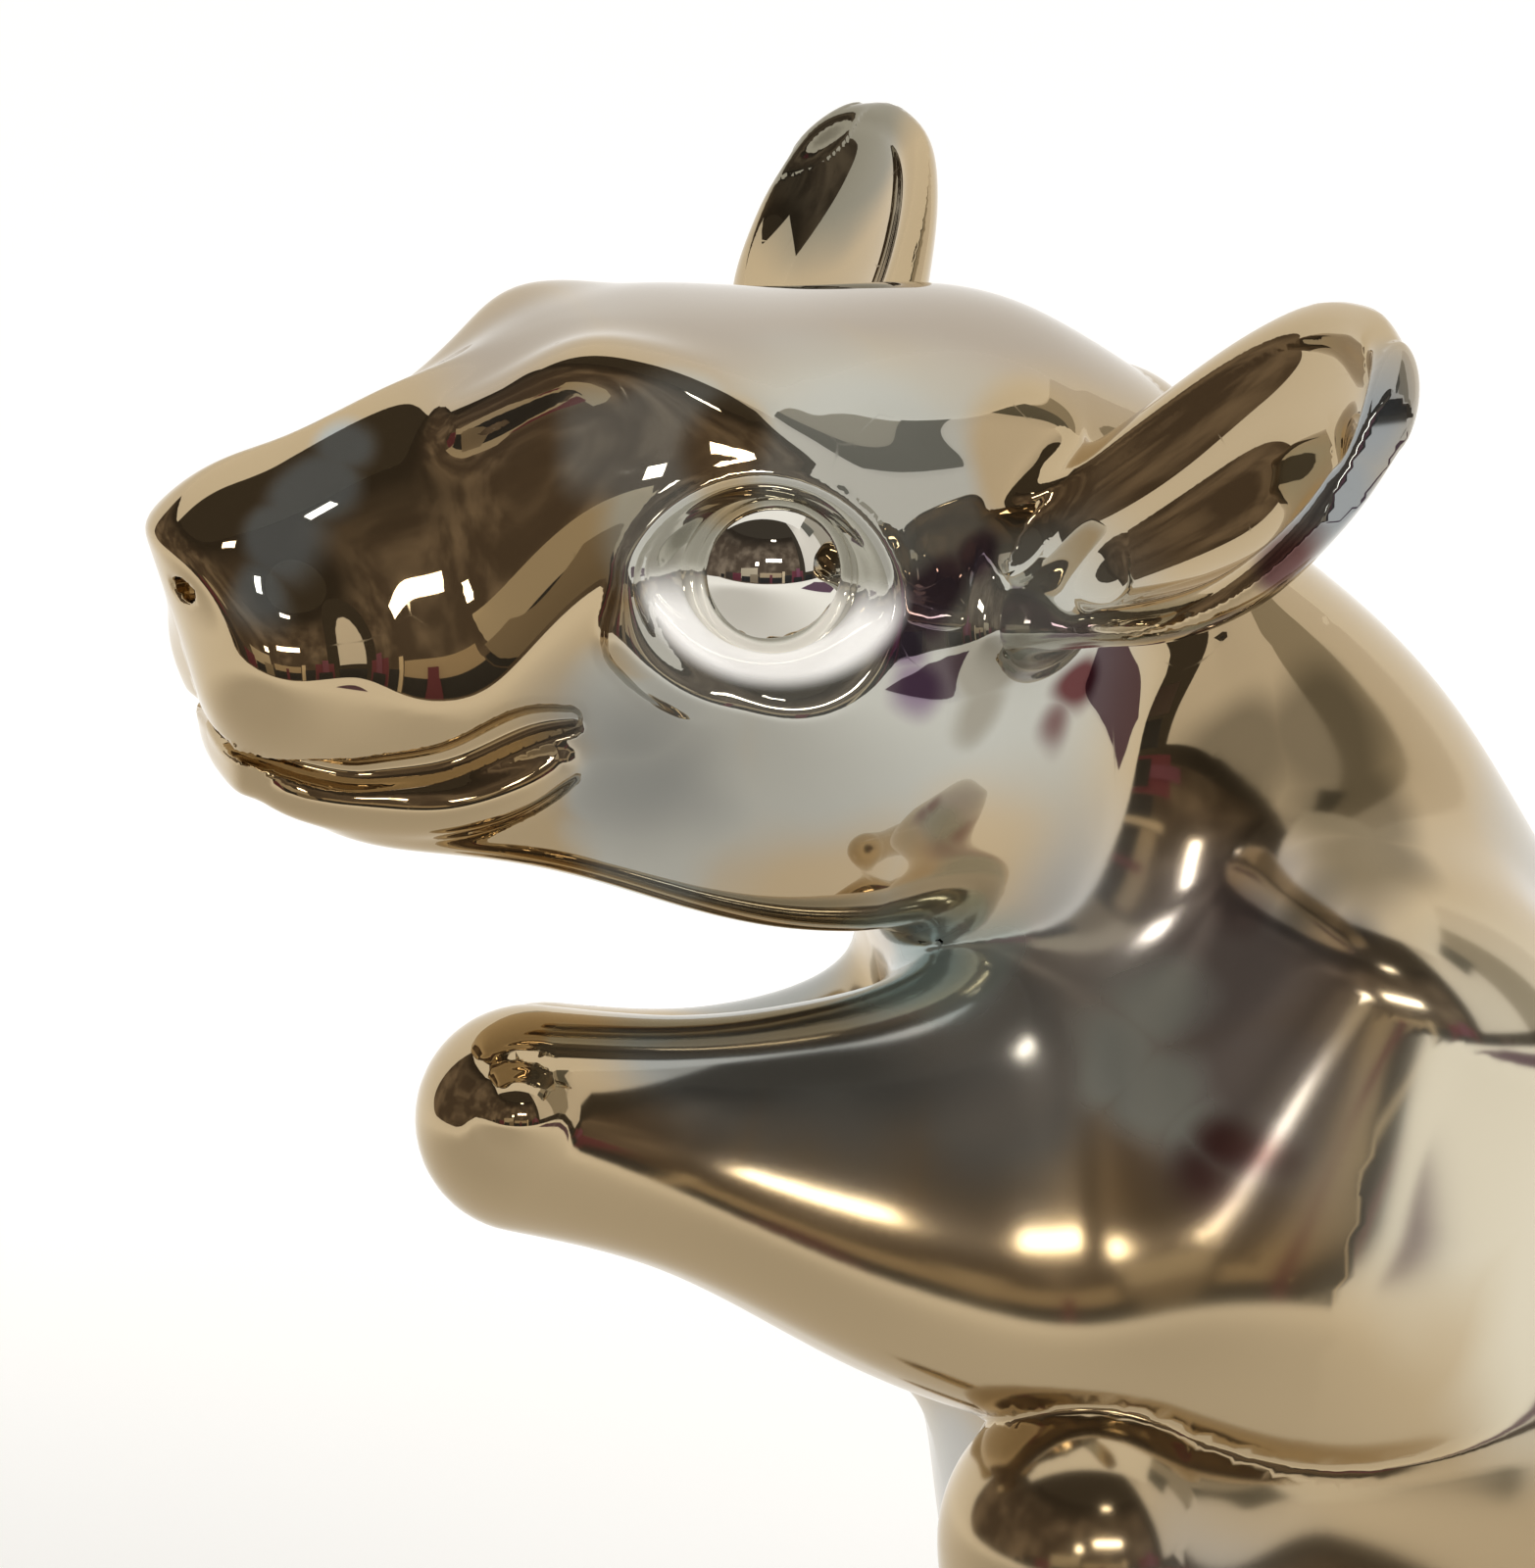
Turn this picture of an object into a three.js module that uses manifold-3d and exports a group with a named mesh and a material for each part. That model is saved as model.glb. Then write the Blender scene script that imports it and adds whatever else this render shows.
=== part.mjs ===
// Crystal rat sitting up with its forepaws held out, in millimetres.
// X is the rat's left, -Y its front and +Z up. It stands on Z = 0.
import * as THREE from 'three';
import { mergeVertices } from 'three/addons/utils/BufferGeometryUtils.js';
import Module from 'manifold-3d';

const wasm = await Module();
wasm.setup();

// Fineness of the faceted surfaces
const ringPoints = 20;
const ringsPerSection = 2;
const domeRings = 3;
const ballSegments = 20;
const tailRings = 20;

// Clearances
const bondLine = 0.3; // between two joined pieces
const socketClearance = 0.3; // between an eye bead and its socket

// Torso, upright from the seat to the nape
const torsoHeight = 62;
const torsoHalfWidth = 20.5; // at the belly
const backDepth = 24; // from the spine line to the widest of the back
const napeDome = 4;

// Head, measured from its own centre
const headForward = 16; // in front of the nape
const headRise = 2; // above the nape
const headPitch = 2.7; // nose up, in degrees
const headRoll = 8.6; // left side down, in degrees
const skullBack = 16;
const skullFront = 24.5;
const skullHalfWidth = 11.6;
const skullRise = 13.6;
const occiputDome = 3;
const noseDome = 1;
const noseReach = 23.3; // of the slanted nose tip
const noseSlant = 20; // of the nose tip, in degrees from upright
const jawBack = 10;
const jawFront = 19.6;
const jawHalfWidth = 10.8;
const jawDrop = 7.9;
const jawDomes = [4, 1.2];
const cheekRadii = new THREE.Vector3(5, 6.5, 7);
const cheekBack = 1.5;
const cheekDrop = 2.5;
const cheekOut = 7.4;

// Brow ridges
const browRadii = new THREE.Vector3(2.2, 4.2, 2.4);
const browForward = 6.4;
const browHeight = 7.5;
const browOut = 4.9;

// Eye beads between almond lids
const eyeRadius = 3.4;
const eyeForward = 2.8;
const eyeOut = 10.2; // of the lids' plane at the eye
const eyeHeight = 2.5;
const eyeSink = 2.2; // of the bead's centre behind that plane
const eyeFacing = new THREE.Vector3(0.95, -0.27, 0.14).normalize();
const lidHalfLength = 5.4;
const lidHalfHeight = 4;
const lidRadius = 0.7;
const socketDepth = 1.6;

// Ears
const earRootDepth = 4; // inside the skull
const earReach = 17.2;
const earHalfWidth = 6.8;
const earDepth = 2.9;
const earDomes = [3, 2.2];
const earRim = 0.5; // from the bowl's end to the tip's
const earBack = 7.7;
const earOut = 10.6;
const earHeight = 3.4;
const earDirection = new THREE.Vector3(0.814, 0.257, 0.547).normalize();
const earFacing = new THREE.Vector3(-0.045, -0.85, 0.52);

// Forelegs: the right one is held lower and further back
const elbowRadius = 9.4;
const elbowDome = 8.5;
const pawRadius = 4.4;
const forearmTwist = 40; // that its broad top turns outwards, in degrees
const elbowSpread = 11.4; // from the middle plane
const pawSpread = 4.4;
const leftElbowForward = 7.4;
const leftElbowDrop = 24.4; // below the nape
const leftPawForward = 29.1; // in front of the elbow
const leftPawRise = 6.1; // above the elbow
const rightElbowForward = 4.4;
const rightElbowDrop = 28.8;
const rightPawForward = 28.6;
const rightPawRise = 8;
const shoulderForward = 2.2;
const shoulderDrop = 14.5; // below the nape
const shoulderRadius = 8.2;

// Hind legs
const hipBack = 8;
const hipHeight = 13.5;
const hipRadius = 13.5;
const hipSink = 4.2; // of the hip's middle inside the flank
const thighHalfWidth = 9;
const kneeRadius = 5.5;
const kneeSpread = 14; // from the middle plane
const leftKneeForward = 16.6;
const leftKneeHeight = 26.9;
const rightKneeForward = 3;
const rightKneeHeight = 19;
const ankleRadius = 4.8;
const ankleDrop = 4; // of the ankle's end into the foot

// Hind feet
const footLength = 17;
const heelRadius = 4.8;
const toeRadius = 4.2;
const soleDepth = 3.6; // of the flat sole below the foot's middle line
const heelBack = 5; // behind the shin

// Tail, lying round the right side
const tailRootRadius = 4.2;
const tailTipRadius = 1.9;
const tailFlat = 0.5; // ground off its underside
const tailClearance = 4.5; // from the hind leg to the tail's middle line

const lustre = { metalness: 1, roughness: 0.06 };
const silverLustre = new THREE.MeshStandardMaterial({ color: '#a9b0af', ...lustre });
const goldLustre = new THREE.MeshStandardMaterial({ color: '#cdb68c', ...lustre });
const eyeLustre = new THREE.MeshStandardMaterial({ color: '#b9b5a8', ...lustre });

// Cross sections along a form: share of its length, then shares of its width and depth
const torsoForm = {
  from: 0,
  to: torsoHeight,
  width: torsoHalfWidth,
  depth: backDepth,
  domes: [0, napeDome],
  squareness: 2.2,
  sections: [
    { share: 0, line: 0.33, half: 0.93, rise: 0.87, drop: 0.75 },
    { share: 0.19, line: 0.29, half: 1, rise: 0.98, drop: 0.83 },
    { share: 0.4, line: 0.17, half: 0.95, rise: 1, drop: 0.79 },
    { share: 0.61, line: -0.04, half: 0.8, rise: 0.98, drop: 0.62 },
    { share: 0.79, line: -0.23, half: 0.64, rise: 0.83, drop: 0.5 },
    { share: 0.92, line: -0.35, half: 0.51, rise: 0.55, drop: 0.42 },
    { share: 1, line: -0.42, half: 0.42, rise: 0.34, drop: 0.33 },
  ],
};
const skullForm = {
  from: -skullBack,
  to: skullFront,
  width: skullHalfWidth,
  depth: skullRise,
  domes: [occiputDome, noseDome],
  squareness: 2,
  sections: [
    { share: 0, line: 0, half: 0.69, rise: 0.56, drop: 0.51 },
    { share: 0.12, line: -0.07, half: 0.93, rise: 0.87, drop: 0.74, squareness: 1.9 },
    { share: 0.27, line: -0.15, half: 1, rise: 0.99, drop: 0.74, squareness: 1.85 },
    { share: 0.37, line: -0.19, half: 0.98, rise: 1.02, drop: 0.65, squareness: 1.9 },
    { share: 0.49, line: -0.22, half: 0.89, rise: 1.02, drop: 0.51 },
    { share: 0.62, line: -0.26, half: 0.72, rise: 0.97, drop: 0.4, squareness: 1.9 },
    { share: 0.69, line: -0.28, half: 0.62, rise: 0.9, drop: 0.34, squareness: 1.7 },
    { share: 0.78, line: -0.27, half: 0.54, rise: 0.8, drop: 0.32, squareness: 1.6 },
    { share: 0.86, line: -0.24, half: 0.46, rise: 0.62, drop: 0.31, squareness: 1.6 },
    { share: 0.96, line: -0.18, half: 0.35, rise: 0.4, drop: 0.31, squareness: 1.8 },
    { share: 1, line: -0.14, half: 0.26, rise: 0.22, drop: 0.25, squareness: 1.9 },
  ],
};
const jawForm = {
  from: -jawBack,
  to: jawFront,
  width: jawHalfWidth,
  depth: jawDrop,
  domes: jawDomes,
  squareness: 2.2,
  sections: [
    { share: 0, line: -0.58, half: 0.83, rise: 0.63, drop: 0.84 },
    { share: 0.2, line: -0.73, half: 1, rise: 0.63, drop: 1 },
    { share: 0.44, line: -0.71, half: 0.89, rise: 0.51, drop: 0.92 },
    { share: 0.64, line: -0.71, half: 0.7, rise: 0.33, drop: 0.7 },
    { share: 0.78, line: -0.73, half: 0.59, rise: 0.28, drop: 0.57 },
    { share: 0.91, line: -0.73, half: 0.48, rise: 0.28, drop: 0.46 },
    { share: 1, line: -0.71, half: 0.33, rise: 0.28, drop: 0.32 },
  ],
};

// Ear blade, and the bowl cut into its front
const bladeForm = {
  from: -earRootDepth,
  to: earReach,
  width: earHalfWidth,
  depth: earDepth,
  domes: earDomes,
  squareness: 2,
  sections: [
    { share: 0, line: 0, half: 0.47, rise: 0.55, drop: 0.9 },
    { share: 0.19, line: 0, half: 0.59, rise: 0.45, drop: 0.93 },
    { share: 0.38, line: 0, half: 0.74, rise: 0.34, drop: 1 },
    { share: 0.57, line: 0, half: 0.93, rise: 0.31, drop: 1 },
    { share: 0.71, line: 0, half: 1, rise: 0.31, drop: 0.93 },
    { share: 0.85, line: 0, half: 0.97, rise: 0.31, drop: 0.83 },
    { share: 1, line: 0, half: 0.74, rise: 0.28, drop: 0.62 },
  ],
};
const bowlForm = {
  ...bladeForm,
  from: -earRootDepth / 2,
  domes: earDomes.map((dome) => dome - earRim),
  sections: [
    { share: 0, line: 0.31, half: 0.37, rise: 1.03, drop: 0.59 },
    { share: 0.31, line: 0.31, half: 0.66, rise: 1.03, drop: 0.69 },
    { share: 0.52, line: 0.31, half: 0.87, rise: 1.03, drop: 0.72 },
    { share: 0.68, line: 0.31, half: 0.94, rise: 1.03, drop: 0.72 },
    { share: 0.83, line: 0.31, half: 0.91, rise: 1.03, drop: 0.69 },
    { share: 1, line: 0.31, half: 0.66, rise: 1.03, drop: 0.59 },
  ],
};

// A limb tapers from one round end to the other.
const taperForm = (startRadius, endRadius) => (length) => ({
  from: 0,
  to: length,
  width: 1,
  depth: 1,
  domes: [startRadius, endRadius],
  squareness: 2,
  sections: [
    { share: 0, line: 0, half: startRadius, rise: startRadius, drop: startRadius },
    { share: 1, line: 0, half: endRadius, rise: endRadius, drop: endRadius },
  ],
});

// Forearm sections run from the elbow to the paw.
const pawShare = pawRadius / elbowRadius;
const forearmForm = (length) => ({
  from: 0,
  to: length,
  width: elbowRadius,
  depth: elbowRadius,
  domes: [elbowDome, pawRadius],
  squareness: 2,
  sections: [
    { share: 0, line: 0, half: 1, rise: 0.79, drop: 0.87 },
    { share: 0.3, line: 0, half: 0.96, rise: 0.53, drop: 0.85 },
    { share: 0.55, line: 0, half: 0.79, rise: 0.47, drop: 0.81 },
    { share: 0.8, line: 0, half: 0.53, rise: 0.4, drop: 0.51 },
    { share: 1, line: 0, half: pawShare, rise: pawShare, drop: pawShare },
  ],
});

// Thigh sections run from the hip to the knee.
const kneeWidth = kneeRadius / thighHalfWidth;
const kneeDepth = kneeRadius / hipRadius;
const thighForm = (length) => ({
  from: 0,
  to: length,
  width: thighHalfWidth,
  depth: hipRadius,
  domes: [hipRadius, kneeRadius],
  squareness: 2,
  sections: [
    { share: 0, line: 0, half: 1, rise: 1, drop: 1 },
    { share: 0.45, line: 0, half: 1, rise: 0.93, drop: 0.93 },
    { share: 1, line: 0, half: kneeWidth, rise: kneeDepth, drop: kneeDepth },
  ],
});

const channels = ['line', 'half', 'rise', 'drop', 'squareness'];

// Section of a form at a place along it, from a smooth curve through its cross sections
function sectionAt(form, place) {
  const places = form.sections.map((s) => THREE.MathUtils.lerp(form.from, form.to, s.share));
  const sections = form.sections.map((s) => ({ squareness: form.squareness, ...s }));
  const values = sections.flatMap((s) => channels.map((channel) => s[channel]));
  const track = new THREE.CubicInterpolant(places, values, channels.length);
  const [line, half, rise, drop, squareness] = track.evaluate(place);
  const { width, depth } = form;
  return { line: line * depth, half: half * width, rise: rise * depth, drop: drop * depth, squareness };
}

// Half width of a form at a place along it and a height across it
function sideAt(form, place, height) {
  const section = sectionAt(form, place);
  const offset = height - section.line;
  const reach = offset > 0 ? section.rise : section.drop;
  const share = Math.min(Math.abs(offset) / reach, 1);
  return section.half * (1 - share ** section.squareness) ** (1 / section.squareness);
}

function ring(section, place, shrink) {
  const points = [];
  const power = 2 / section.squareness;
  for (let i = 0; i < ringPoints; i += 1) {
    const angle = (2 * Math.PI * i) / ringPoints;
    const across = Math.sign(Math.cos(angle)) * Math.abs(Math.cos(angle)) ** power;
    const up = Math.sign(Math.sin(angle)) * Math.abs(Math.sin(angle)) ** power;
    const reach = up > 0 ? section.rise : section.drop;
    const x = section.half * shrink * across;
    const y = section.line + reach * shrink * up;
    points.push(new THREE.Vector3(x, y, place));
  }
  return points;
}

// Closed surface over a row of rings, with a point at each end
function skin(rings, first, last) {
  const count = ringPoints;
  const points = [...rings.flat(), first, last];
  const firstPoint = points.length - 2;
  const lastPoint = points.length - 1;
  const lastRing = (rings.length - 1) * count;
  const faces = [];
  for (let i = 0; i < count; i += 1) {
    const next = (i + 1) % count;
    for (let start = 0; start < lastRing; start += count) {
      const [a, b] = [start + i, start + next];
      faces.push(a, b, b + count, a, b + count, a + count);
    }
    faces.push(firstPoint, next, i, lastPoint, lastRing + i, lastRing + next);
  }
  const geometry = new THREE.BufferGeometry().setFromPoints(points);
  geometry.setIndex(faces);
  return geometry;
}

// A form as a closed surface along +Z, with a dome or a flat at each end, grown outwards by a margin
function loft(form, grow = 0) {
  const grown = (section) => ({
    ...section,
    half: section.half + grow,
    rise: section.rise + grow,
    drop: section.drop + grow,
  });
  const [startDome, endDome] = form.domes.map((dome) => dome + grow);
  const startSection = grown(sectionAt(form, form.from));
  const endSection = grown(sectionAt(form, form.to));
  const startRings = [];
  const endRings = [];
  for (let i = 1; i <= domeRings; i += 1) {
    const angle = (Math.PI / 2) * (i / (domeRings + 1));
    const [out, shrink] = [Math.sin(angle), Math.cos(angle)];
    startRings.unshift(ring(startSection, form.from - startDome * out, shrink));
    endRings.push(ring(endSection, form.to + endDome * out, shrink));
  }
  const rings = [];
  const steps = ringsPerSection * (form.sections.length - 1);
  for (let i = 0; i <= steps; i += 1) {
    const place = THREE.MathUtils.lerp(form.from, form.to, i / steps);
    rings.push(ring(grown(sectionAt(form, place)), place, 1));
  }
  const first = new THREE.Vector3(0, startSection.line, form.from - startDome);
  const last = new THREE.Vector3(0, endSection.line, form.to + endDome);
  const all = [...(startDome > 0 ? startRings : []), ...rings, ...(endDome > 0 ? endRings : [])];
  return skin(all, first, last);
}

// Ellipsoid with its middle at a point, turned by a basis
function ball(middle, radii, basis = new THREE.Matrix4(), grow = 0) {
  const geometry = new THREE.SphereGeometry(1, ballSegments, ballSegments / 2);
  geometry.scale(radii.x + grow, radii.y + grow, radii.z + grow);
  geometry.applyMatrix4(basis);
  return geometry.translate(middle.x, middle.y, middle.z);
}

// Basis whose Z runs along a direction and whose X lies nearest to another
function basisAlong(direction, across) {
  const z = direction.clone().normalize();
  const y = z.clone().cross(across).normalize();
  const x = y.clone().cross(z);
  return new THREE.Matrix4().makeBasis(x, y, z);
}

// Closed geometry as a solid that can be joined and cut
function solid(geometry) {
  geometry.deleteAttribute('normal');
  geometry.deleteAttribute('uv');
  const merged = mergeVertices(geometry);
  const vertProperties = Float32Array.from(merged.attributes.position.array);
  const triVerts = Uint32Array.from(merged.index.array);
  return new wasm.Manifold(new wasm.Mesh({ numProp: 3, vertProperties, triVerts }));
}

// Named piece whose own origin is its seat
function piece(name, body, material, seat = new THREE.Vector3()) {
  const mesh = body.getMesh();
  const geometry = new THREE.BufferGeometry();
  geometry.setAttribute('position', new THREE.Float32BufferAttribute(mesh.vertProperties, 3));
  geometry.setIndex(Array.from(mesh.triVerts));
  geometry.translate(-seat.x, -seat.y, -seat.z);
  geometry.computeVertexNormals();
  const result = new THREE.Mesh(geometry, material);
  result.name = name;
  result.position.copy(seat);
  return result;
}

// Everything below the floor, to grind a piece flat
function belowFloor() {
  const size = 8 * torsoHeight;
  return solid(new THREE.BoxGeometry(size, size, size).translate(0, 0, -size / 2));
}

const floor = belowFloor();
const sideways = new THREE.Vector3(1, 0, 0);
const upwards = new THREE.Vector3(0, 0, 1);
const sides = [
  {
    name: 'left',
    sign: 1,
    kneeForward: leftKneeForward,
    kneeHeight: leftKneeHeight,
    elbowForward: leftElbowForward,
    elbowDrop: leftElbowDrop,
    pawForward: leftPawForward,
    pawRise: leftPawRise,
  },
  {
    name: 'right',
    sign: -1,
    kneeForward: rightKneeForward,
    kneeHeight: rightKneeHeight,
    elbowForward: rightElbowForward,
    elbowDrop: rightElbowDrop,
    pawForward: rightPawForward,
    pawRise: rightPawRise,
  },
];

// Head group: its own frame has the same axes as the rat's
const nape = new THREE.Vector3(0, sectionAt(torsoForm, torsoHeight).line, torsoHeight);
const headGroup = new THREE.Group();
headGroup.position.set(0, nape.y - headForward, nape.z + headRise);
headGroup.rotation.set(-THREE.MathUtils.degToRad(headPitch), THREE.MathUtils.degToRad(headRoll), 0);
headGroup.updateMatrix();

// Slanted nose tip: everything in front of it
function beyondNose(grow) {
  const size = 4 * skullFront;
  const box = new THREE.BoxGeometry(size, size, size).translate(0, -size / 2 - grow, 0);
  box.rotateX(-THREE.MathUtils.degToRad(noseSlant));
  return box.translate(0, -noseReach, 0);
}

// The same ellipsoid on both sides of the head
function pair(middle, radii, grow) {
  const mirrored = middle.clone().multiply(new THREE.Vector3(-1, 1, 1));
  return [middle, mirrored].map((at) => ball(at, radii, undefined, grow));
}

// Skull, jaw, cheeks and brows in one, grown by a margin and set in a frame
function headForms(grow = 0, frame = new THREE.Matrix4()) {
  const shapes = [skullForm, jawForm].map((form) => loft(form, grow).rotateX(Math.PI / 2));
  shapes.push(...pair(new THREE.Vector3(cheekOut, cheekBack, -cheekDrop), cheekRadii, grow));
  shapes.push(...pair(new THREE.Vector3(browOut, -browForward, browHeight), browRadii, grow));
  const solids = shapes.map((shape) => solid(shape.applyMatrix4(frame)));
  const joined = solids.reduce((whole, part) => whole.add(part));
  return joined.subtract(solid(beyondNose(grow).applyMatrix4(frame)));
}

// Point in front of or behind the lids' plane at an eye
function eyePoint(sign, out) {
  const point = new THREE.Vector3(eyeOut, -eyeForward, eyeHeight).addScaledVector(eyeFacing, out);
  return point.multiply(new THREE.Vector3(sign, 1, 1));
}

function eyeBasis(sign) {
  const facing = eyeFacing.clone().multiply(new THREE.Vector3(sign, 1, 1));
  return basisAlong(facing, upwards.clone().cross(facing));
}

function eyeSolid(sign, grow = 0) {
  const radius = eyeRadius + grow;
  return solid(ball(eyePoint(sign, -eyeSink), new THREE.Vector3(radius, radius, radius)));
}

function lidSolid(sign) {
  const lid = new THREE.TorusGeometry(lidHalfHeight, lidRadius, ballSegments / 2, ballSegments);
  lid.scale(lidHalfLength / lidHalfHeight, 1, 1).applyMatrix4(eyeBasis(sign));
  const middle = eyePoint(sign, -lidRadius / 2);
  return solid(lid.translate(middle.x, middle.y, middle.z));
}

function socketSolid(sign) {
  const radii = new THREE.Vector3(lidHalfLength - lidRadius, lidHalfHeight - lidRadius, socketDepth);
  return solid(ball(eyePoint(sign, 0), radii, eyeBasis(sign)));
}

function headSolid() {
  let head = headForms();
  for (const { sign } of sides) {
    head = head.add(lidSolid(sign)).subtract(socketSolid(sign)).subtract(eyeSolid(sign, socketClearance));
  }
  return head;
}

function earRoot(sign) {
  return new THREE.Vector3(sign * earOut, earBack, earHeight);
}

// Cupped ear, seated on the skull
function earSolid(sign) {
  const mirror = new THREE.Vector3(sign, 1, 1);
  const direction = earDirection.clone().multiply(mirror);
  const facing = earFacing.clone().multiply(mirror);
  const basis = basisAlong(direction, facing.cross(direction));
  const root = earRoot(sign);
  const [blade, bowl] = [bladeForm, bowlForm].map((form) => {
    return solid(loft(form).applyMatrix4(basis).translate(root.x, root.y, root.z));
  });
  return blade.subtract(bowl).subtract(headForms(bondLine));
}

function torsoSolid(grow = 0) {
  return solid(loft(torsoForm, grow));
}

// A form laid from one point to another
function limb(form, start, end, grow, across = sideways) {
  const reach = end.clone().sub(start);
  const shape = loft(form(reach.length()), grow).applyMatrix4(basisAlong(reach, across));
  return solid(shape.translate(start.x, start.y, start.z));
}

// Point on the flank at a height and distance forward, sunk inwards
function flank(sign, forward, height, sink) {
  const side = sideAt(torsoForm, height, -forward) - sink;
  return new THREE.Vector3(sign * side, -forward, height);
}

function elbowAt(side) {
  return new THREE.Vector3(side.sign * elbowSpread, -side.elbowForward, torsoHeight - side.elbowDrop);
}

// Forearm held forward from the elbow, and the upper arm up to the shoulder
function forelegForms(side, grow = 0) {
  const elbow = elbowAt(side);
  const paw = new THREE.Vector3(side.sign * pawSpread, elbow.y - side.pawForward, elbow.z + side.pawRise);
  const shoulder = new THREE.Vector3(elbow.x, -shoulderForward, torsoHeight - shoulderDrop);
  const twist = THREE.MathUtils.degToRad(forearmTwist);
  const across = new THREE.Vector3(Math.cos(twist), 0, -side.sign * Math.sin(twist));
  const forearm = limb(forearmForm, elbow, paw, grow, across);
  return forearm.add(limb(taperForm(shoulderRadius, shoulderRadius), elbow, shoulder, grow));
}

// Everything on the other side of the middle plane, so that the two paws lie side by side
function otherSide(sign) {
  const size = 8 * torsoHeight;
  const inner = (size - bondLine) / 2;
  return solid(new THREE.BoxGeometry(size, size, size).translate(-sign * inner, 0, 0));
}

function forelegSolid(side) {
  const cut = forelegForms(side).subtract(torsoSolid(bondLine)).subtract(otherSide(side.sign));
  return cut.subtract(headForms(bondLine, headGroup.matrix));
}

function hipAt(side) {
  return flank(side.sign, -hipBack, hipHeight, hipSink);
}

function kneeAt(side) {
  return new THREE.Vector3(side.sign * kneeSpread, -side.kneeForward, side.kneeHeight);
}

// Thigh from the hip up to the knee, and the shin down to the ankle
function hindLegForms(side, grow = 0) {
  const knee = kneeAt(side);
  const footTop = soleDepth + heelRadius;
  const ankle = new THREE.Vector3(knee.x, knee.y, footTop + ankleRadius - ankleDrop);
  const shin = limb(taperForm(kneeRadius, ankleRadius), knee, ankle, grow);
  return limb(thighForm, hipAt(side), knee, grow).add(shin);
}

function hindLegSolid(side) {
  const cut = hindLegForms(side).subtract(torsoSolid(bondLine));
  return cut.subtract(forelegForms(side, bondLine)).subtract(floor);
}

function heelAt(side) {
  const knee = kneeAt(side);
  return new THREE.Vector3(knee.x, knee.y + heelBack, soleDepth);
}

function footSolid(side) {
  const heel = heelAt(side);
  const toe = new THREE.Vector3(heel.x, heel.y - footLength, heel.z);
  const cut = limb(taperForm(heelRadius, toeRadius), heel, toe, 0).subtract(hindLegForms(side, bondLine));
  return cut.subtract(torsoSolid(bondLine)).subtract(floor);
}

// Tapered tail along a curve from the rump round one hind leg
function tailSolid(side) {
  const hip = hipAt(side);
  const seat = sectionAt(torsoForm, 0);
  const rump = seat.line + seat.rise;
  const out = hip.x + side.sign * (thighHalfWidth + tailClearance);
  const front = -side.kneeForward;
  const rootHeight = tailRootRadius - tailFlat;
  const tipHeight = tailTipRadius - tailFlat;
  const curve = new THREE.CatmullRomCurve3([
    new THREE.Vector3(0, rump - tailRootRadius, rootHeight),
    new THREE.Vector3(out / 3, rump + tailClearance / 2, rootHeight),
    new THREE.Vector3(out * 0.8, (rump + hip.y) / 2, (rootHeight + tipHeight) / 2),
    new THREE.Vector3(out, hip.y, (rootHeight + tipHeight) / 2),
    new THREE.Vector3(out * 0.9, front, tipHeight),
  ]);
  const steps = tailRings;
  const frames = curve.computeFrenetFrames(steps);
  const rings = [];
  for (let i = 0; i <= steps; i += 1) {
    const radius = THREE.MathUtils.lerp(tailRootRadius, tailTipRadius, i / steps);
    const { normals, binormals, tangents } = frames;
    const across = new THREE.Matrix4().makeBasis(normals[i], binormals[i], tangents[i]);
    const at = curve.getPointAt(i / steps);
    const circle = { line: 0, half: radius, rise: radius, drop: radius, squareness: 2 };
    rings.push(ring(circle, 0, 1).map((p) => p.applyMatrix4(across).add(at)));
  }
  const tip = curve.getPointAt(1).addScaledVector(frames.tangents[steps], tailTipRadius);
  const body = solid(skin(rings, curve.getPointAt(0), tip));
  return body.subtract(torsoSolid(bondLine)).subtract(hindLegForms(side, bondLine)).subtract(floor);
}

// Neck of the torso cut to the back of the head
function torsoPiece() {
  const body = torsoSolid().subtract(headForms(bondLine, headGroup.matrix));
  return piece('torso', body, silverLustre);
}

headGroup.add(piece('head', headSolid(), silverLustre));
const rat = new THREE.Group();
rat.add(torsoPiece());
rat.add(headGroup);
for (const side of sides) {
  const { name, sign } = side;
  headGroup.add(piece(`${name}_eye`, eyeSolid(sign), eyeLustre, eyePoint(sign, -eyeSink)));
  headGroup.add(piece(`${name}_ear`, earSolid(sign), goldLustre, earRoot(sign)));
  rat.add(piece(`${name}_foreleg`, forelegSolid(side), goldLustre, elbowAt(side)));
  rat.add(piece(`${name}_hind_leg`, hindLegSolid(side), silverLustre, hipAt(side)));
  rat.add(piece(`${name}_hind_foot`, footSolid(side), goldLustre, heelAt(side)));
}
rat.add(piece('tail', tailSolid(sides[1]), goldLustre));

export default rat;
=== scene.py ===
import bpy
import numpy as np
from mathutils import Matrix, Vector


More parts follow.
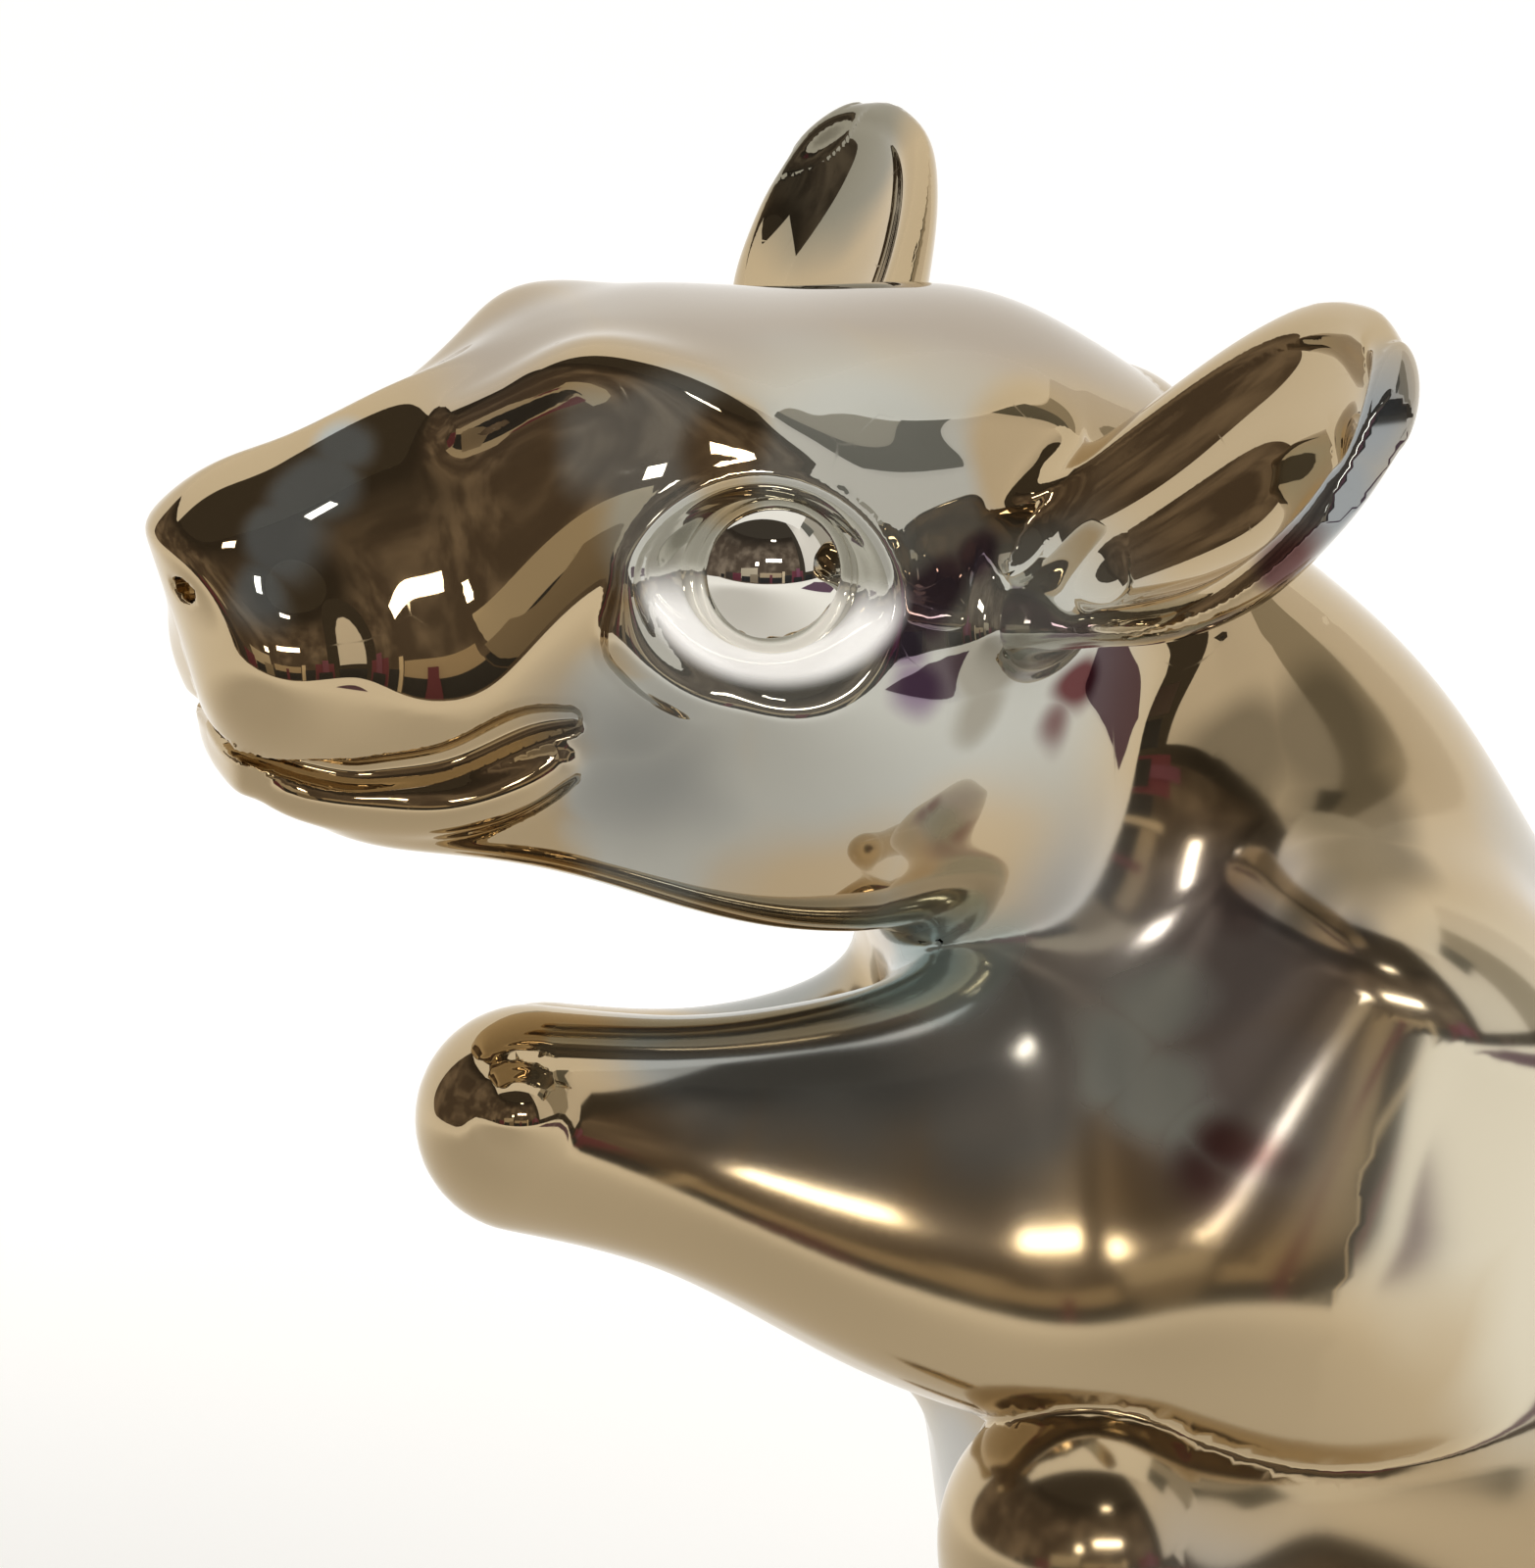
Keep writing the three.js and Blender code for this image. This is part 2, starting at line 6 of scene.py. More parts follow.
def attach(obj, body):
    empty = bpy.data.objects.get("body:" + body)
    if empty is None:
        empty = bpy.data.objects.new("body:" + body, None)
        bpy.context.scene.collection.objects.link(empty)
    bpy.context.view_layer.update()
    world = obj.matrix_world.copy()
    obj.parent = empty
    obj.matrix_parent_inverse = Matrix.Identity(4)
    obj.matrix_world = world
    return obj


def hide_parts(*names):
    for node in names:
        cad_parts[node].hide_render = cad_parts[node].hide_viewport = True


# Crystal rat with a two-tone mirror lustre. Forms are in millimetres, in the CAD frame:
# X is the rat's left, -Y its front and Z up. Objects are in metres.
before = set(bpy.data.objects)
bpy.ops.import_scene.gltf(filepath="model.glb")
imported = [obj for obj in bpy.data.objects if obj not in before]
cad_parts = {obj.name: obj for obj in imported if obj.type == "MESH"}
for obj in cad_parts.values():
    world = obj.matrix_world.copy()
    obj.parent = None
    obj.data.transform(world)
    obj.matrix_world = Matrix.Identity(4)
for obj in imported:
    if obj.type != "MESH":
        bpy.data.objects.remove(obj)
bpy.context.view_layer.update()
mm = 0.001


# Fields: each form is a function that gives a point's distance to its surface, negative inside.
def unit(v):
    v = np.asarray(v, float)
    return v / np.linalg.norm(v)


# Two forms run together, with a rounding of k between them
def merge(a, b, k):
    h = np.maximum(k - np.abs(a - b), 0) / k
    return np.minimum(a, b) - h * h * h * k / 6


# The second form taken out of the first
def carve(a, b, k):
    return -merge(-a, b, k)


# Only what lies in both forms
def trim(a, b, k):
    return -merge(-a, -b, k)


# Natural cubic spline through stations
def spline(places, values, at):
    places, values, at = np.asarray(places, float), np.asarray(values, float), np.asarray(at, float)
    count, gaps = len(places), np.diff(places)
    matrix, right = np.eye(count), np.zeros(count)
    for i in range(1, count - 1):
        matrix[i, i - 1:i + 2] = gaps[i - 1], 2 * (gaps[i - 1] + gaps[i]), gaps[i]
        right[i] = 6 * ((values[i + 1] - values[i]) / gaps[i] - (values[i] - values[i - 1]) / gaps[i - 1])
    bend = np.linalg.solve(matrix, right)
    i = np.clip(np.searchsorted(places, at) - 1, 0, count - 2)
    after, before, gap = places[i + 1] - at, at - places[i], gaps[i]
    curve = (bend[i] * after ** 3 + bend[i + 1] * before ** 3) / (6 * gap)
    curve += (values[i] / gap - bend[i] * gap / 6) * after
    return curve + (values[i + 1] / gap - bend[i + 1] * gap / 6) * before


# Ellipsoid, with its axes turned by rows of unit vectors
def ball(at, radii, axes=np.eye(3)):
    at, radii = np.asarray(at, float), np.asarray(radii, float) * np.ones(3)
    axes = np.array([unit(a) for a in axes])

    def field(p):
        q = (p - at) @ axes.T
        near = np.sqrt(((q / radii) ** 2).sum(-1)) + 1e-9
        slope = np.sqrt(((q / radii ** 2) ** 2).sum(-1)) + 1e-9
        return near * (near - 1) / slope
    return field


# Form with stations along an axis: place, middle line, half width, rise, drop and squareness.
# Rows of place and squareness may give the side under the line its own.
def loft(at, axes, stations, domes, under=None):
    at, axes = np.asarray(at, float), np.array([unit(a) for a in axes])
    rows = np.array(sorted(stations), float)
    low, high = rows[0, 0], rows[-1, 0]
    places = np.linspace(low, high, 400)
    curves = [spline(rows[:, 0], rows[:, j], places) for j in range(1, 6)]

    def field(p):
        along, side, up = ((p - at) @ axes.T).T
        line, half, rise, drop, power = (np.interp(along, places, c) for c in curves)
        dome = np.where(along < low, domes[0], domes[1])
        past = np.maximum(np.maximum(low - along, along - high), 0) / dome
        reach = np.where(up > line, rise, drop)
        if under:
            power = np.where(up > line, power, np.interp(along, *zip(*under)))
        x, y = np.abs(side) / half, np.abs(up - line) / reach
        near = (x ** power + y ** power + past ** power + 1e-12) ** (1 / power)
        parts = (x, half), (y, reach), (past, dome)
        slope = sum((share ** (power - 1) / size) ** 2 for share, size in parts)
        return (near - 1) / np.maximum(near ** (1 - power) * np.sqrt(slope), 1e-3)
    return field


# Loft from one point to another, with its width nearest to the sideways direction
def limb(start, end, stations, domes, sideways=(1, 0, 0)):
    start, end = np.asarray(start, float), np.asarray(end, float)
    along = unit(end - start)
    up = unit(np.cross(along, sideways))
    length = np.linalg.norm(end - start)
    rows = [(share * length, *row) for share, *row in stations]
    return loft(start, (along, np.cross(up, along), up), rows, domes)


# Round tube along a smooth curve
def tube(points, radii, starts=24, rounds=3):
    points = np.asarray(points, float)
    stops = np.linspace(0, len(points) - 1, 600)
    line = [spline(range(len(points)), points[:, j], stops) for j in range(3)]
    pace = [np.gradient(c, stops) for c in line]
    bend = [np.gradient(c, stops) for c in pace]
    radius = spline(range(len(points)), radii, stops)

    def on(curve, share):
        return np.stack([np.interp(share, stops, c) for c in curve], -1)

    def field(p):
        best, share = np.full(len(p), 1e6), np.zeros(len(p))
        for stop in np.linspace(0, len(points) - 1, starts):
            away = ((p - on(line, stop)) ** 2).sum(-1)
            share = np.where(away < best, stop, share)
            best = np.minimum(best, away)
        for _ in range(rounds):
            gap, speed = p - on(line, share), on(pace, share)
            quick = (speed ** 2).sum(-1)
            slow = np.maximum(quick - (gap * on(bend, share)).sum(-1), 0.3 * quick)
            share = np.clip(share + (gap * speed).sum(-1) / slow, 0, len(points) - 1)
        return np.linalg.norm(p - on(line, share), axis=-1) - np.interp(share, stops, radius)
    return field


# A form worked out only near its box; farther off, the distance to the box stands in
def near(low, high, field, margin=9.0):
    low, high = np.asarray(low, float), np.asarray(high, float)

    def boxed(p):
        away = np.linalg.norm(np.maximum(np.maximum(low - p, p - high), 0), axis=-1)
        out = away + 0.0
        close = away < margin
        if close.any():
            value = field(p[close])
            out[close] = np.where(away[close] > 0, np.maximum(value, away[close]), value)
        return out
    return boxed


# Head, in its own frame: forward, left, up
head = {
    "at": (0, -26, 64), "pitch": 2.67, "roll": 8.63,
    "skull": [  # forward, middle line, half width, rise, drop, squareness above the line
        (24.5, -1.9, 3.0, 3.0, 3.4, 1.9), (23.0, -2.4, 4.0, 5.4, 4.2, 1.7),
        (19.0, -3.2, 5.2, 8.4, 4.2, 1.46), (15.0, -3.7, 6.2, 10.9, 4.3, 1.44),
        (12.0, -3.8, 7.2, 12.3, 4.6, 1.7), (9.0, -3.6, 8.3, 13.5, 5.4, 2.7),
        (4.0, -3.0, 10.3, 14.2, 7.0, 3.4), (-1.0, -2.6, 11.2, 14.2, 8.8, 3.4),
        (-5.0, -2.0, 11.2, 13.9, 10.0, 2.8), (-11.0, -1.0, 10.6, 12.0, 10.0, 2.1),
        (-16.0, 0.0, 8.0, 7.6, 7.0, 2.0)],
    "domes": (3.0, 1.0), "under": [(0, 2.2)],
    "roof": [  # the arched crown that cuts the skull off between the brow ridges
        (16, 8, 14, 8, 24, 2), (12, 6, 13, 7, 22, 2), (9, 4.5, 12.5, 6.6, 20, 2),
        (4, 2.8, 12.5, 8.2, 20, 2), (-1, 0, 12.5, 11, 20, 2), (-5, -1, 12.2, 12.2, 20, 2),
        (-11, -1, 11.6, 11.8, 20, 2), (-16, 0, 9.5, 8.0, 20, 2)],
    "roofDomes": (4.0, 10.0), "roofEdge": 1.6,
    "jaw": [
        (19.6, -5.6, 3.6, 2.2, 2.5, 2.2), (17.0, -5.8, 5.2, 2.2, 3.6, 2.2),
        (13.0, -5.8, 6.4, 2.2, 4.3, 2.2), (9.0, -5.6, 7.6, 2.6, 5.0, 2.2),
        (3.0, -5.6, 9.6, 4.0, 6.6, 2.2), (-4.0, -5.8, 10.8, 5.0, 7.0, 2.1),
        (-11.0, -4.2, 9.6, 5.0, 6.6, 2.0)],
    "jawDomes": (6.0, 1.2), "jawUnder": [(-11, 2.1), (-3, 4.2), (4, 4.6)], "jawBlend": 1.6,
    "noseSlope": (0.94, -0.35), "noseReach": 21.9, "noseRound": 6.0, "noseEdge": 1.2,
    "brow": [
        (12.5, 2.4, 6.4), (10.4, 3.4, 7.8), (8.8, 4.2, 8.7),
        (7.2, 5.1, 8.8), (5.4, 6.1, 8.5), (3.4, 7.2, 7.6)],
    "browRadii": [0.8, 1.0, 1.2, 1.2, 1.0, 0.7], "browBlend": 2.4,
    "cheek": ((-1.5, 7.4, -2.5), (6.5, 5.0, 7.0)), "cheekBlend": 4.0,
    "whisker": ((18.6, 2.6, -3.0), (3.4, 3.3, 3.6)), "whiskerBlend": 2.4,
    "nostril": ((22.5, 1.9, 0.0), (0.8, 0.8, 0.45)), "nostrilEdge": 0.4,
    "mouth": [
        (21.5, 0.0, -5.6), (20.9, 2.4, -5.8), (19.6, 3.9, -6.0), (17.4, 5.0, -6.3), (15.9, 5.7, -6.1),
        (13.9, 6.4, -5.6), (12.3, 7.0, -4.7), (10.9, 7.6, -3.8), (9.5, 8.1, -3.4)],
    "mouthRadii": [0.4, 0.45, 0.5, 0.55, 0.6, 0.65, 0.7, 0.7, 0.45], "mouthEdge": 0.5,
    "lip": [
        (19.9, 0.0, -7.0), (19.4, 2.6, -7.1), (18.0, 4.0, -7.5), (15.4, 5.0, -7.6), (12.9, 6.0, -7.3),
        (10.8, 6.9, -6.3), (9.4, 7.5, -5.2)],
    "lipRadii": [0.9, 1.0, 1.1, 1.2, 1.2, 1.1, 0.8], "lipBlend": 0.7,
}
eye = {
    "at": (3.2, 10.2, 2.5), "facing": (0.27, 0.95, 0.14),
    "radius": 3.4, "sink": 2.2, "back": 0.45, "raise": 0.2, "bedded": 0.3, "beddedEdge": 0.05,
    "length": 5.0, "height": 3.6,  # half sizes of the almond between the lids
    "lid": 0.35, "lidSink": 0.3, "lidOut": 0.25, "lidBlend": 0.5,
    "lowerLid": 0.75, "lowerSink": 0.5, "lowerOut": 0.85,  # what the lower lid has more
    "depth": 1.7, "slant": 0.8, "lowSlant": 0.7,  # the socket's wall slants in
    "cornerRound": 0.9, "floorRound": 0.8, "socketEdge": 0.5,
}
ear = {
    "root": (-7.7, 10.6, 3.4), "along": (-0.257, 0.814, 0.547), "facing": (0.85, -0.045, 0.52),
    "blade": [  # along, line, half width, front, back, squareness
        (-4, 0, 3.2, 1.6, 2.6, 2), (0, 0, 4.0, 1.3, 2.7, 2), (4, 0, 5.0, 1.0, 2.9, 2),
        (8, 0, 6.2, 0.9, 2.9, 2), (11, 0, 6.6, 0.9, 2.7, 2), (14, 0, 6.2, 0.9, 2.4, 2),
        (16, 0, 5.2, 0.85, 2.0, 2), (17.6, 0, 3.9, 0.8, 1.6, 2), (18.6, 0, 2.5, 0.75, 1.3, 2)],
    "bladeDomes": (3, 0.8), "blend": 2.6,
    "bowl": [
        (1, 1.2, 2.0, 3, 0.9, 2), (4, 1.2, 3.6, 3, 1.5, 2), (8, 1.2, 5.1, 3, 2.0, 2),
        (11, 1.2, 5.6, 3, 2.1, 2), (14, 1.2, 5.2, 3, 2.0, 2), (16, 1.2, 4.1, 3, 1.7, 2),
        (17.2, 1.2, 2.9, 3, 1.4, 2)],
    "bowlDomes": (3, 1.0), "bowlEdge": 0.9,
    "pit": ((5.0, 2.3, 0.6), (15.0, 1.2, 0.5)),  # the deeper hollow along the lower rim: along, down, out
    "pitForm": [
        (0, 0, 1.6, 2, 1.6, 2), (0.4, 0, 2.6, 2, 2.3, 2), (0.75, 0, 2.8, 2, 2.3, 2), (1, 0, 2.0, 2, 1.7, 2)],
    "pitDomes": (1.5, 1.5), "pitEdge": 1.6, "farScale": 0.95,  # of the right ear to the left
}

pitch, roll = np.radians(head["pitch"]), np.radians(head["roll"])
forward = np.array((0, -np.cos(pitch), np.sin(pitch)))
upright = np.array((0, np.sin(pitch), np.cos(pitch)))
leftward = (np.cos(roll), 0, 0) - np.sin(roll) * upright
crownward = (np.sin(roll), 0, 0) + np.cos(roll) * upright
headAxes = np.array((forward, leftward, crownward))


def toHead(p):
    return (p - np.array(head["at"])) @ headAxes.T


def fromHead(q):
    return np.array(head["at"]) + np.asarray(q, float) @ headAxes


middle = (0, 0, 0)
skullLoft = loft(middle, np.eye(3), head["skull"], head["domes"], head["under"])
roofLoft = loft(middle, np.eye(3), head["roof"], head["roofDomes"])
jawLoft = loft(middle, np.eye(3), head["jaw"], head["jawDomes"], head["jawUnder"])
browTube = near((0, 0, 4), (15, 9, 12), tube(head["brow"], head["browRadii"]), 6)
mouthTube = near((8, -1, -8), (23, 9, -2), tube(head["mouth"], head["mouthRadii"]), 3)
lipTube = near((8, -1, -9), (23, 9, -4), tube(head["lip"], head["lipRadii"]), 3)
eyeFacing = unit(eye["facing"])
eyeForward = unit(np.cross((0, 0, 1), eyeFacing) * -1)
eyeAxes = np.array((eyeForward, np.cross(eyeFacing, eyeForward) * -1, eyeFacing))
eyeMiddle = np.array(eye["at"]) - eyeFacing * eye["sink"] - eyeForward * eye["back"]
eyeMiddle = eyeMiddle + np.array((0, 0, eye["raise"]))
beadHole = ball(eyeMiddle, eye["radius"] - eye["bedded"])


# Almond between the lids: distance out from its edge, height and depth
def almond(q):
    along, up, out = ((q - np.array(eye["at"])) @ eyeAxes.T).T
    arc = (eye["length"] ** 2 + eye["height"] ** 2) / (2 * eye["height"])
    bend = np.hypot(up, eye["cornerRound"]) + eye["height"] - np.hypot(eye["height"], eye["cornerRound"])
    return np.hypot(along, bend + arc - eye["height"]) - arc, up, out


# Lids round the almond, thicker below, with the socket sunk between them
def eyelids(d, q):
    edge, up, out = almond(q)
    low = np.clip(-up / eye["height"], 0, 1)
    low = low * low * (3 - 2 * low)
    thick = eye["lid"] + eye["lowerLid"] * low
    away, sink = edge - eye["lidOut"] - eye["lowerOut"] * low, out + eye["lidSink"] + eye["lowerSink"] * low
    ring = np.hypot(away, sink)
    d = merge(d, ring - thick, eye["lidBlend"])
    slant = eye["slant"] + eye["lowSlant"] * low
    wall = (edge - slant * out) / np.hypot(1, slant)
    socket = trim(wall, -out - eye["depth"], eye["floorRound"])
    return carve(carve(d, socket, eye["socketEdge"]), beadHole(q), eye["beddedEdge"])


# Both halves of the head are alike, so its left half serves for both
def headField(p):
    q = toHead(p)
    q[:, 1] = np.abs(q[:, 1])
    d = trim(skullLoft(q), roofLoft(q), head["roofEdge"])
    d = merge(d, browTube(q), head["browBlend"])
    along, rise = head["noseSlope"]
    noseTip = along * q[:, 0] + rise * q[:, 2] - head["noseReach"] + q[:, 1] ** 2 / (2 * head["noseRound"])
    d = trim(d, noseTip, head["noseEdge"])
    d = merge(d, ball(*head["whisker"])(q), head["whiskerBlend"])
    d = carve(d, ball(*head["nostril"])(q), head["nostrilEdge"])
    d = merge(d, jawLoft(q), head["jawBlend"])
    d = merge(d, ball(*head["cheek"])(q), head["cheekBlend"])
    d = merge(d, lipTube(q), head["lipBlend"])
    d = carve(d, mouthTube(q), head["mouthEdge"])
    return eyelids(d, q)


earAlong = unit(ear["along"])
earFacing = np.array(ear["facing"])
earFacing = unit(earFacing - earAlong * (earFacing @ earAlong))
earAxes = np.array((earAlong, np.cross(earAlong, earFacing), earFacing))
earBlade = loft(ear["root"], earAxes, ear["blade"], ear["bladeDomes"])
earBowl = loft(ear["root"], earAxes, ear["bowl"], ear["bowlDomes"])
pitEnds = np.array(ear["root"]) + np.array(ear["pit"]) @ earAxes
earPit = limb(*pitEnds, ear["pitForm"], ear["pitDomes"], -earAxes[1])


# Ear blade with its bowl; the left one has the deeper pit too
def earField(p, side):
    scale = 1.0 if side > 0 else ear["farScale"]
    q = np.array(ear["root"]) + (toHead(p) * np.array((1, side, 1)) - np.array(ear["root"])) / scale
    d = carve(earBlade(q), earBowl(q), ear["bowlEdge"])
    if side > 0:
        d = carve(d, earPit(q), ear["pitEdge"])
    return d * scale


# Body forms stand in the rat's own frame
torso = {
    "sections": [  # height, spine line, half width, back, front, squareness
        (0, 8, 19, 21, 18, 2.2), (11.8, 7, 20.5, 23.5, 20, 2.2), (24.8, 4, 19.5, 24, 19, 2.2),
        (37.8, -1, 16.5, 21.5, 15, 2.2), (49, -5.5, 13.2, 15.8, 14, 2.2), (57, -8.5, 10.8, 13.4, 12, 2.2),
        (62, -10, 9.0, 9.8, 9.5, 2.2), (65.5, -11.5, 7.4, 6.4, 7, 2.2), (68.5, -13, 5.0, 3.5, 5.5, 2.2)],
    "domes": (2, 1.5), "seatEdge": 1.2, "neckBlend": 8.0, "waistBlend": 0.8,
}
foreleg = {
    "leftElbow": (11.4, -7.4, 37.6), "leftPaw": (4.4, -36.5, 43.7),
    "rightElbow": (11.4, -4.4, 33.2), "rightPaw": (4.4, -33.0, 41.2),
    "forearm": [  # share of the length, line, half width, rise, drop, squareness
        (0, 0, 9.4, 7.4, 8.2, 2.2), (0.3, 0, 9.0, 5.0, 8.0, 2.5), (0.55, 0, 7.4, 4.4, 7.6, 2.6),
        (0.8, 0, 5.0, 3.8, 4.8, 2.4), (1, 0, 4.4, 4.4, 4.4, 2)],
    "domes": (8.5, 4.4), "twist": 66,  # degrees that the broad top turns outwards
    "shoulder": (12.4, -2.6, 47.0),
    "arm": [(0, 0, 7.4, 8.4, 8.4, 2), (1, 0, 7.8, 8.4, 8.4, 2)], "armDomes": (8.5, 5.6),
    "thumb": (7.2, -37.7, 44.7), "thumbSize": 1.9,
    "elbowBlend": 6.0, "blend": 8.0, "throatBlend": 1.4, "pawBlend": 0.7,
}
hindLeg = {
    "hip": (15.6, 8, 13.5), "leftKnee": (14, -16.6, 26.9), "rightKnee": (14, -3, 19),
    "thigh": [(0, 0, 9, 13.5, 13.5, 2), (0.45, 0, 9, 12.5, 12.5, 2), (1, 0, 5.5, 5.5, 5.5, 2)],
    "thighDomes": (13.5, 5.5),
    "shin": [(0, 0, 5.5, 5.5, 5.5, 2), (1, 0, 4.8, 4.8, 4.8, 2)], "shinDomes": (5.5, 4.8),
    "ankleHeight": 9.2, "kneeBlend": 4.0, "blend": 4.0,
}
foot = {
    "heelBack": 5, "length": 17, "middle": 3.6, "domes": (4.8, 4.2), "blend": 2.0,
    "sections": [(0, 0, 4.8, 4.8, 4.8, 2), (1, 0, 4.2, 4.2, 4.2, 2)],
}
tail = {
    "route": [(0, 24.8, 3.7), (-9.7, 31.2, 3.7), (-23.3, 18.5, 2.6), (-29.1, 8, 2.5), (-26.2, -6, 1.4)],
    "radii": [4.2, 3.6, 3.1, 2.5, 1.9], "blend": 1.2,
}
mirror = np.array((-1.0, 1, 1))
torsoLoft = loft(middle, ((0, 0, 1), (1, 0, 0), (0, 1, 0)), torso["sections"], torso["domes"])


# Forearm from the elbow to the paw, the upper arm into the shoulder, and a thumb beside the paw's tip
def forelegField(elbow, paw):
    turn = np.radians(foreleg["twist"])
    forearm = limb(elbow, paw, foreleg["forearm"], foreleg["domes"], (np.cos(turn), 0, -np.sin(turn)))
    upperArm = limb(elbow, foreleg["shoulder"], foreleg["arm"], foreleg["armDomes"])
    thumbAt = np.array(foreleg["thumb"]) + np.array(paw) - np.array(foreleg["leftPaw"])
    thumb = ball(thumbAt, foreleg["thumbSize"])

    def field(p):
        arm = merge(forearm(p), upperArm(p), foreleg["elbowBlend"])
        return merge(arm, thumb(p), foreleg["pawBlend"])
    return field


# Thigh from the hip to the knee, and the shin down to the ankle
def hindLegField(knee):
    ankle = (knee[0], knee[1], hindLeg["ankleHeight"])
    thigh = limb(hindLeg["hip"], knee, hindLeg["thigh"], hindLeg["thighDomes"])
    shin = limb(knee, ankle, hindLeg["shin"], hindLeg["shinDomes"])
    return lambda p: merge(thigh(p), shin(p), hindLeg["kneeBlend"])


# Foot from behind the ankle to the toes
def footField(knee):
    heel = (knee[0], knee[1] + foot["heelBack"], foot["middle"])
    toe = (knee[0], heel[1] - foot["length"], foot["middle"])
    return limb(heel, toe, foot["sections"], foot["domes"])


# The same form on the right side
def mirrored(field):
    return lambda p: field(p * mirror)


# Every form with the box that holds it
leftArm = forelegField(foreleg["leftElbow"], foreleg["leftPaw"])
rightArm = mirrored(forelegField(foreleg["rightElbow"], foreleg["rightPaw"]))
leftLeg, rightLeg = hindLegField(hindLeg["leftKnee"]), mirrored(hindLegField(hindLeg["rightKnee"]))
leftFoot, rightFoot = footField(hindLeg["leftKnee"]), mirrored(footField(hindLeg["rightKnee"]))
fields = {
    "torso": near((-24, -26, -4), (24, 36, 74), torsoLoft),
    "head": near((-16, -52, 48), (16, -5, 80), headField),
    "left_ear": near((5, -30, 60), (28, -8, 84), lambda p: earField(p, 1)),
    "right_ear": near((-28, -30, 60), (-5, -8, 90), lambda p: earField(p, -1)),
    "left_foreleg": near((-1, -42, 27), (21, 8, 58), leftArm),
    "right_foreleg": near((-21, -42, 27), (1, 8, 58), rightArm),
    "left_hind_leg": near((5, -26, 0), (27, 22, 34), leftLeg),
    "right_hind_leg": near((-27, -14, 0), (-5, 22, 28), rightLeg),
    "left_hind_foot": near((8, -36, -2), (20, -8, 9), leftFoot),
    "right_hind_foot": near((-20, -24, -2), (-8, 5, 9), rightFoot),
    "tail": near((-32, -10, -2), (5, 36, 9), tube(tail["route"], tail["radii"])),
}
names = list(fields)


# All the pieces run into one another as blown or pressed crystal does.
def joined(d, p):
    paws = merge(d["left_foreleg"], d["right_foreleg"], foreleg["pawBlend"])
    arms = merge(d["torso"], paws, foreleg["blend"])
    ears = np.minimum(d["left_ear"], d["right_ear"])
    neck = merge(d["torso"], merge(d["head"], ears, ear["blend"]), torso["neckBlend"])
    upper = merge(neck, arms, foreleg["throatBlend"])
    feet = np.minimum(d["left_hind_foot"], d["right_hind_foot"])
    legs = merge(np.minimum(d["left_hind_leg"], d["right_hind_leg"]), feet, foot["blend"])
    lower = merge(merge(d["torso"], legs, hindLeg["blend"]), d["tail"], tail["blend"])
    return trim(merge(upper, lower, torso["waistBlend"]), -p[:, 2], torso["seatEdge"])


def whole(p):
    return joined({name: field(p) for name, field in fields.items()}, p)


def gridOf(counts):
    return np.stack(np.meshgrid(*[np.arange(k) for k in counts], indexing="ij"), -1).reshape(-1, 3)


# One vertex in each cell that the surface crosses, and a face over each grid edge that it cuts
def netOf(field, low, high, step, block=8, portion=300000):
    low, high = np.asarray(low, float), np.asarray(high, float)
    count = np.ceil((high - low) / (step * block)).astype(int)
    _, deep, tall = count * block + 2

    def key(c):
        return (c[:, 0].astype(np.int64) * deep + c[:, 1]) * tall + c[:, 2]

    blocks = gridOf(count)
    blocks = blocks[np.abs(field(low + (blocks + 0.5) * step * block)) < step * block * 1.5]
    cells = (blocks[:, None] * block + gridOf((block,) * 3)).reshape(-1, 3)
    corners = gridOf((2, 2, 2))
    pointKeys = np.unique(np.concatenate([key(cells + c) for c in corners]))
    points = np.stack([pointKeys // (deep * tall), pointKeys // tall % deep, pointKeys % tall], -1)
    parts = np.array_split(points, len(points) // portion + 1)
    value = np.concatenate([field(low + part * step) for part in parts])
    v = value[np.stack([np.searchsorted(pointKeys, key(cells + c)) for c in corners], -1)]
    crossed = (v.min(-1) < 0) & (v.max(-1) >= 0)
    cells, v = cells[crossed], v[crossed]
    total, hits = np.zeros((len(cells), 3)), np.zeros(len(cells))
    for a in range(8):
        for bit in (4, 2, 1):
            if not a & bit:
                b = a | bit
                cut = (v[:, a] < 0) != (v[:, b] < 0)
                share = np.where(cut, v[:, a] / np.where(cut, v[:, a] - v[:, b], 1), 0)
                total += np.where(cut[:, None], corners[a] + share[:, None] * (corners[b] - corners[a]), 0)
                hits += cut
    verts = low + (cells + total / hits[:, None]) * step
    order = np.argsort(key(cells))
    sortedKeys = key(cells)[order]
    faces = []
    for axis in range(3):
        one, two, three = np.roll(np.eye(3, dtype=int), -axis, 0)
        other = np.minimum(np.searchsorted(pointKeys, key(points + one)), len(pointKeys) - 1)
        edge = (pointKeys[other] == key(points + one)) & ((value < 0) != (value[other] < 0))
        base, inside = points[edge], value[edge] < 0
        ring = [base, base - two, base - two - three, base - three]
        found = [np.minimum(np.searchsorted(sortedKeys, key(c)), len(sortedKeys) - 1) for c in ring]
        closed = np.all([sortedKeys[f] == key(c) for f, c in zip(found, ring)], axis=0)
        quad = np.stack([order[f] for f in found], -1)
        quad[~inside] = quad[~inside][:, ::-1]
        faces.append(quad[closed])
    return verts, np.concatenate(faces)


# Slope of a form at points, by small steps to both sides
def slopeOf(field, p, reach=0.02):
    steps = np.eye(3) * reach
    return np.stack([field(p + s) - field(p - s) for s in steps], -1) / (2 * reach)


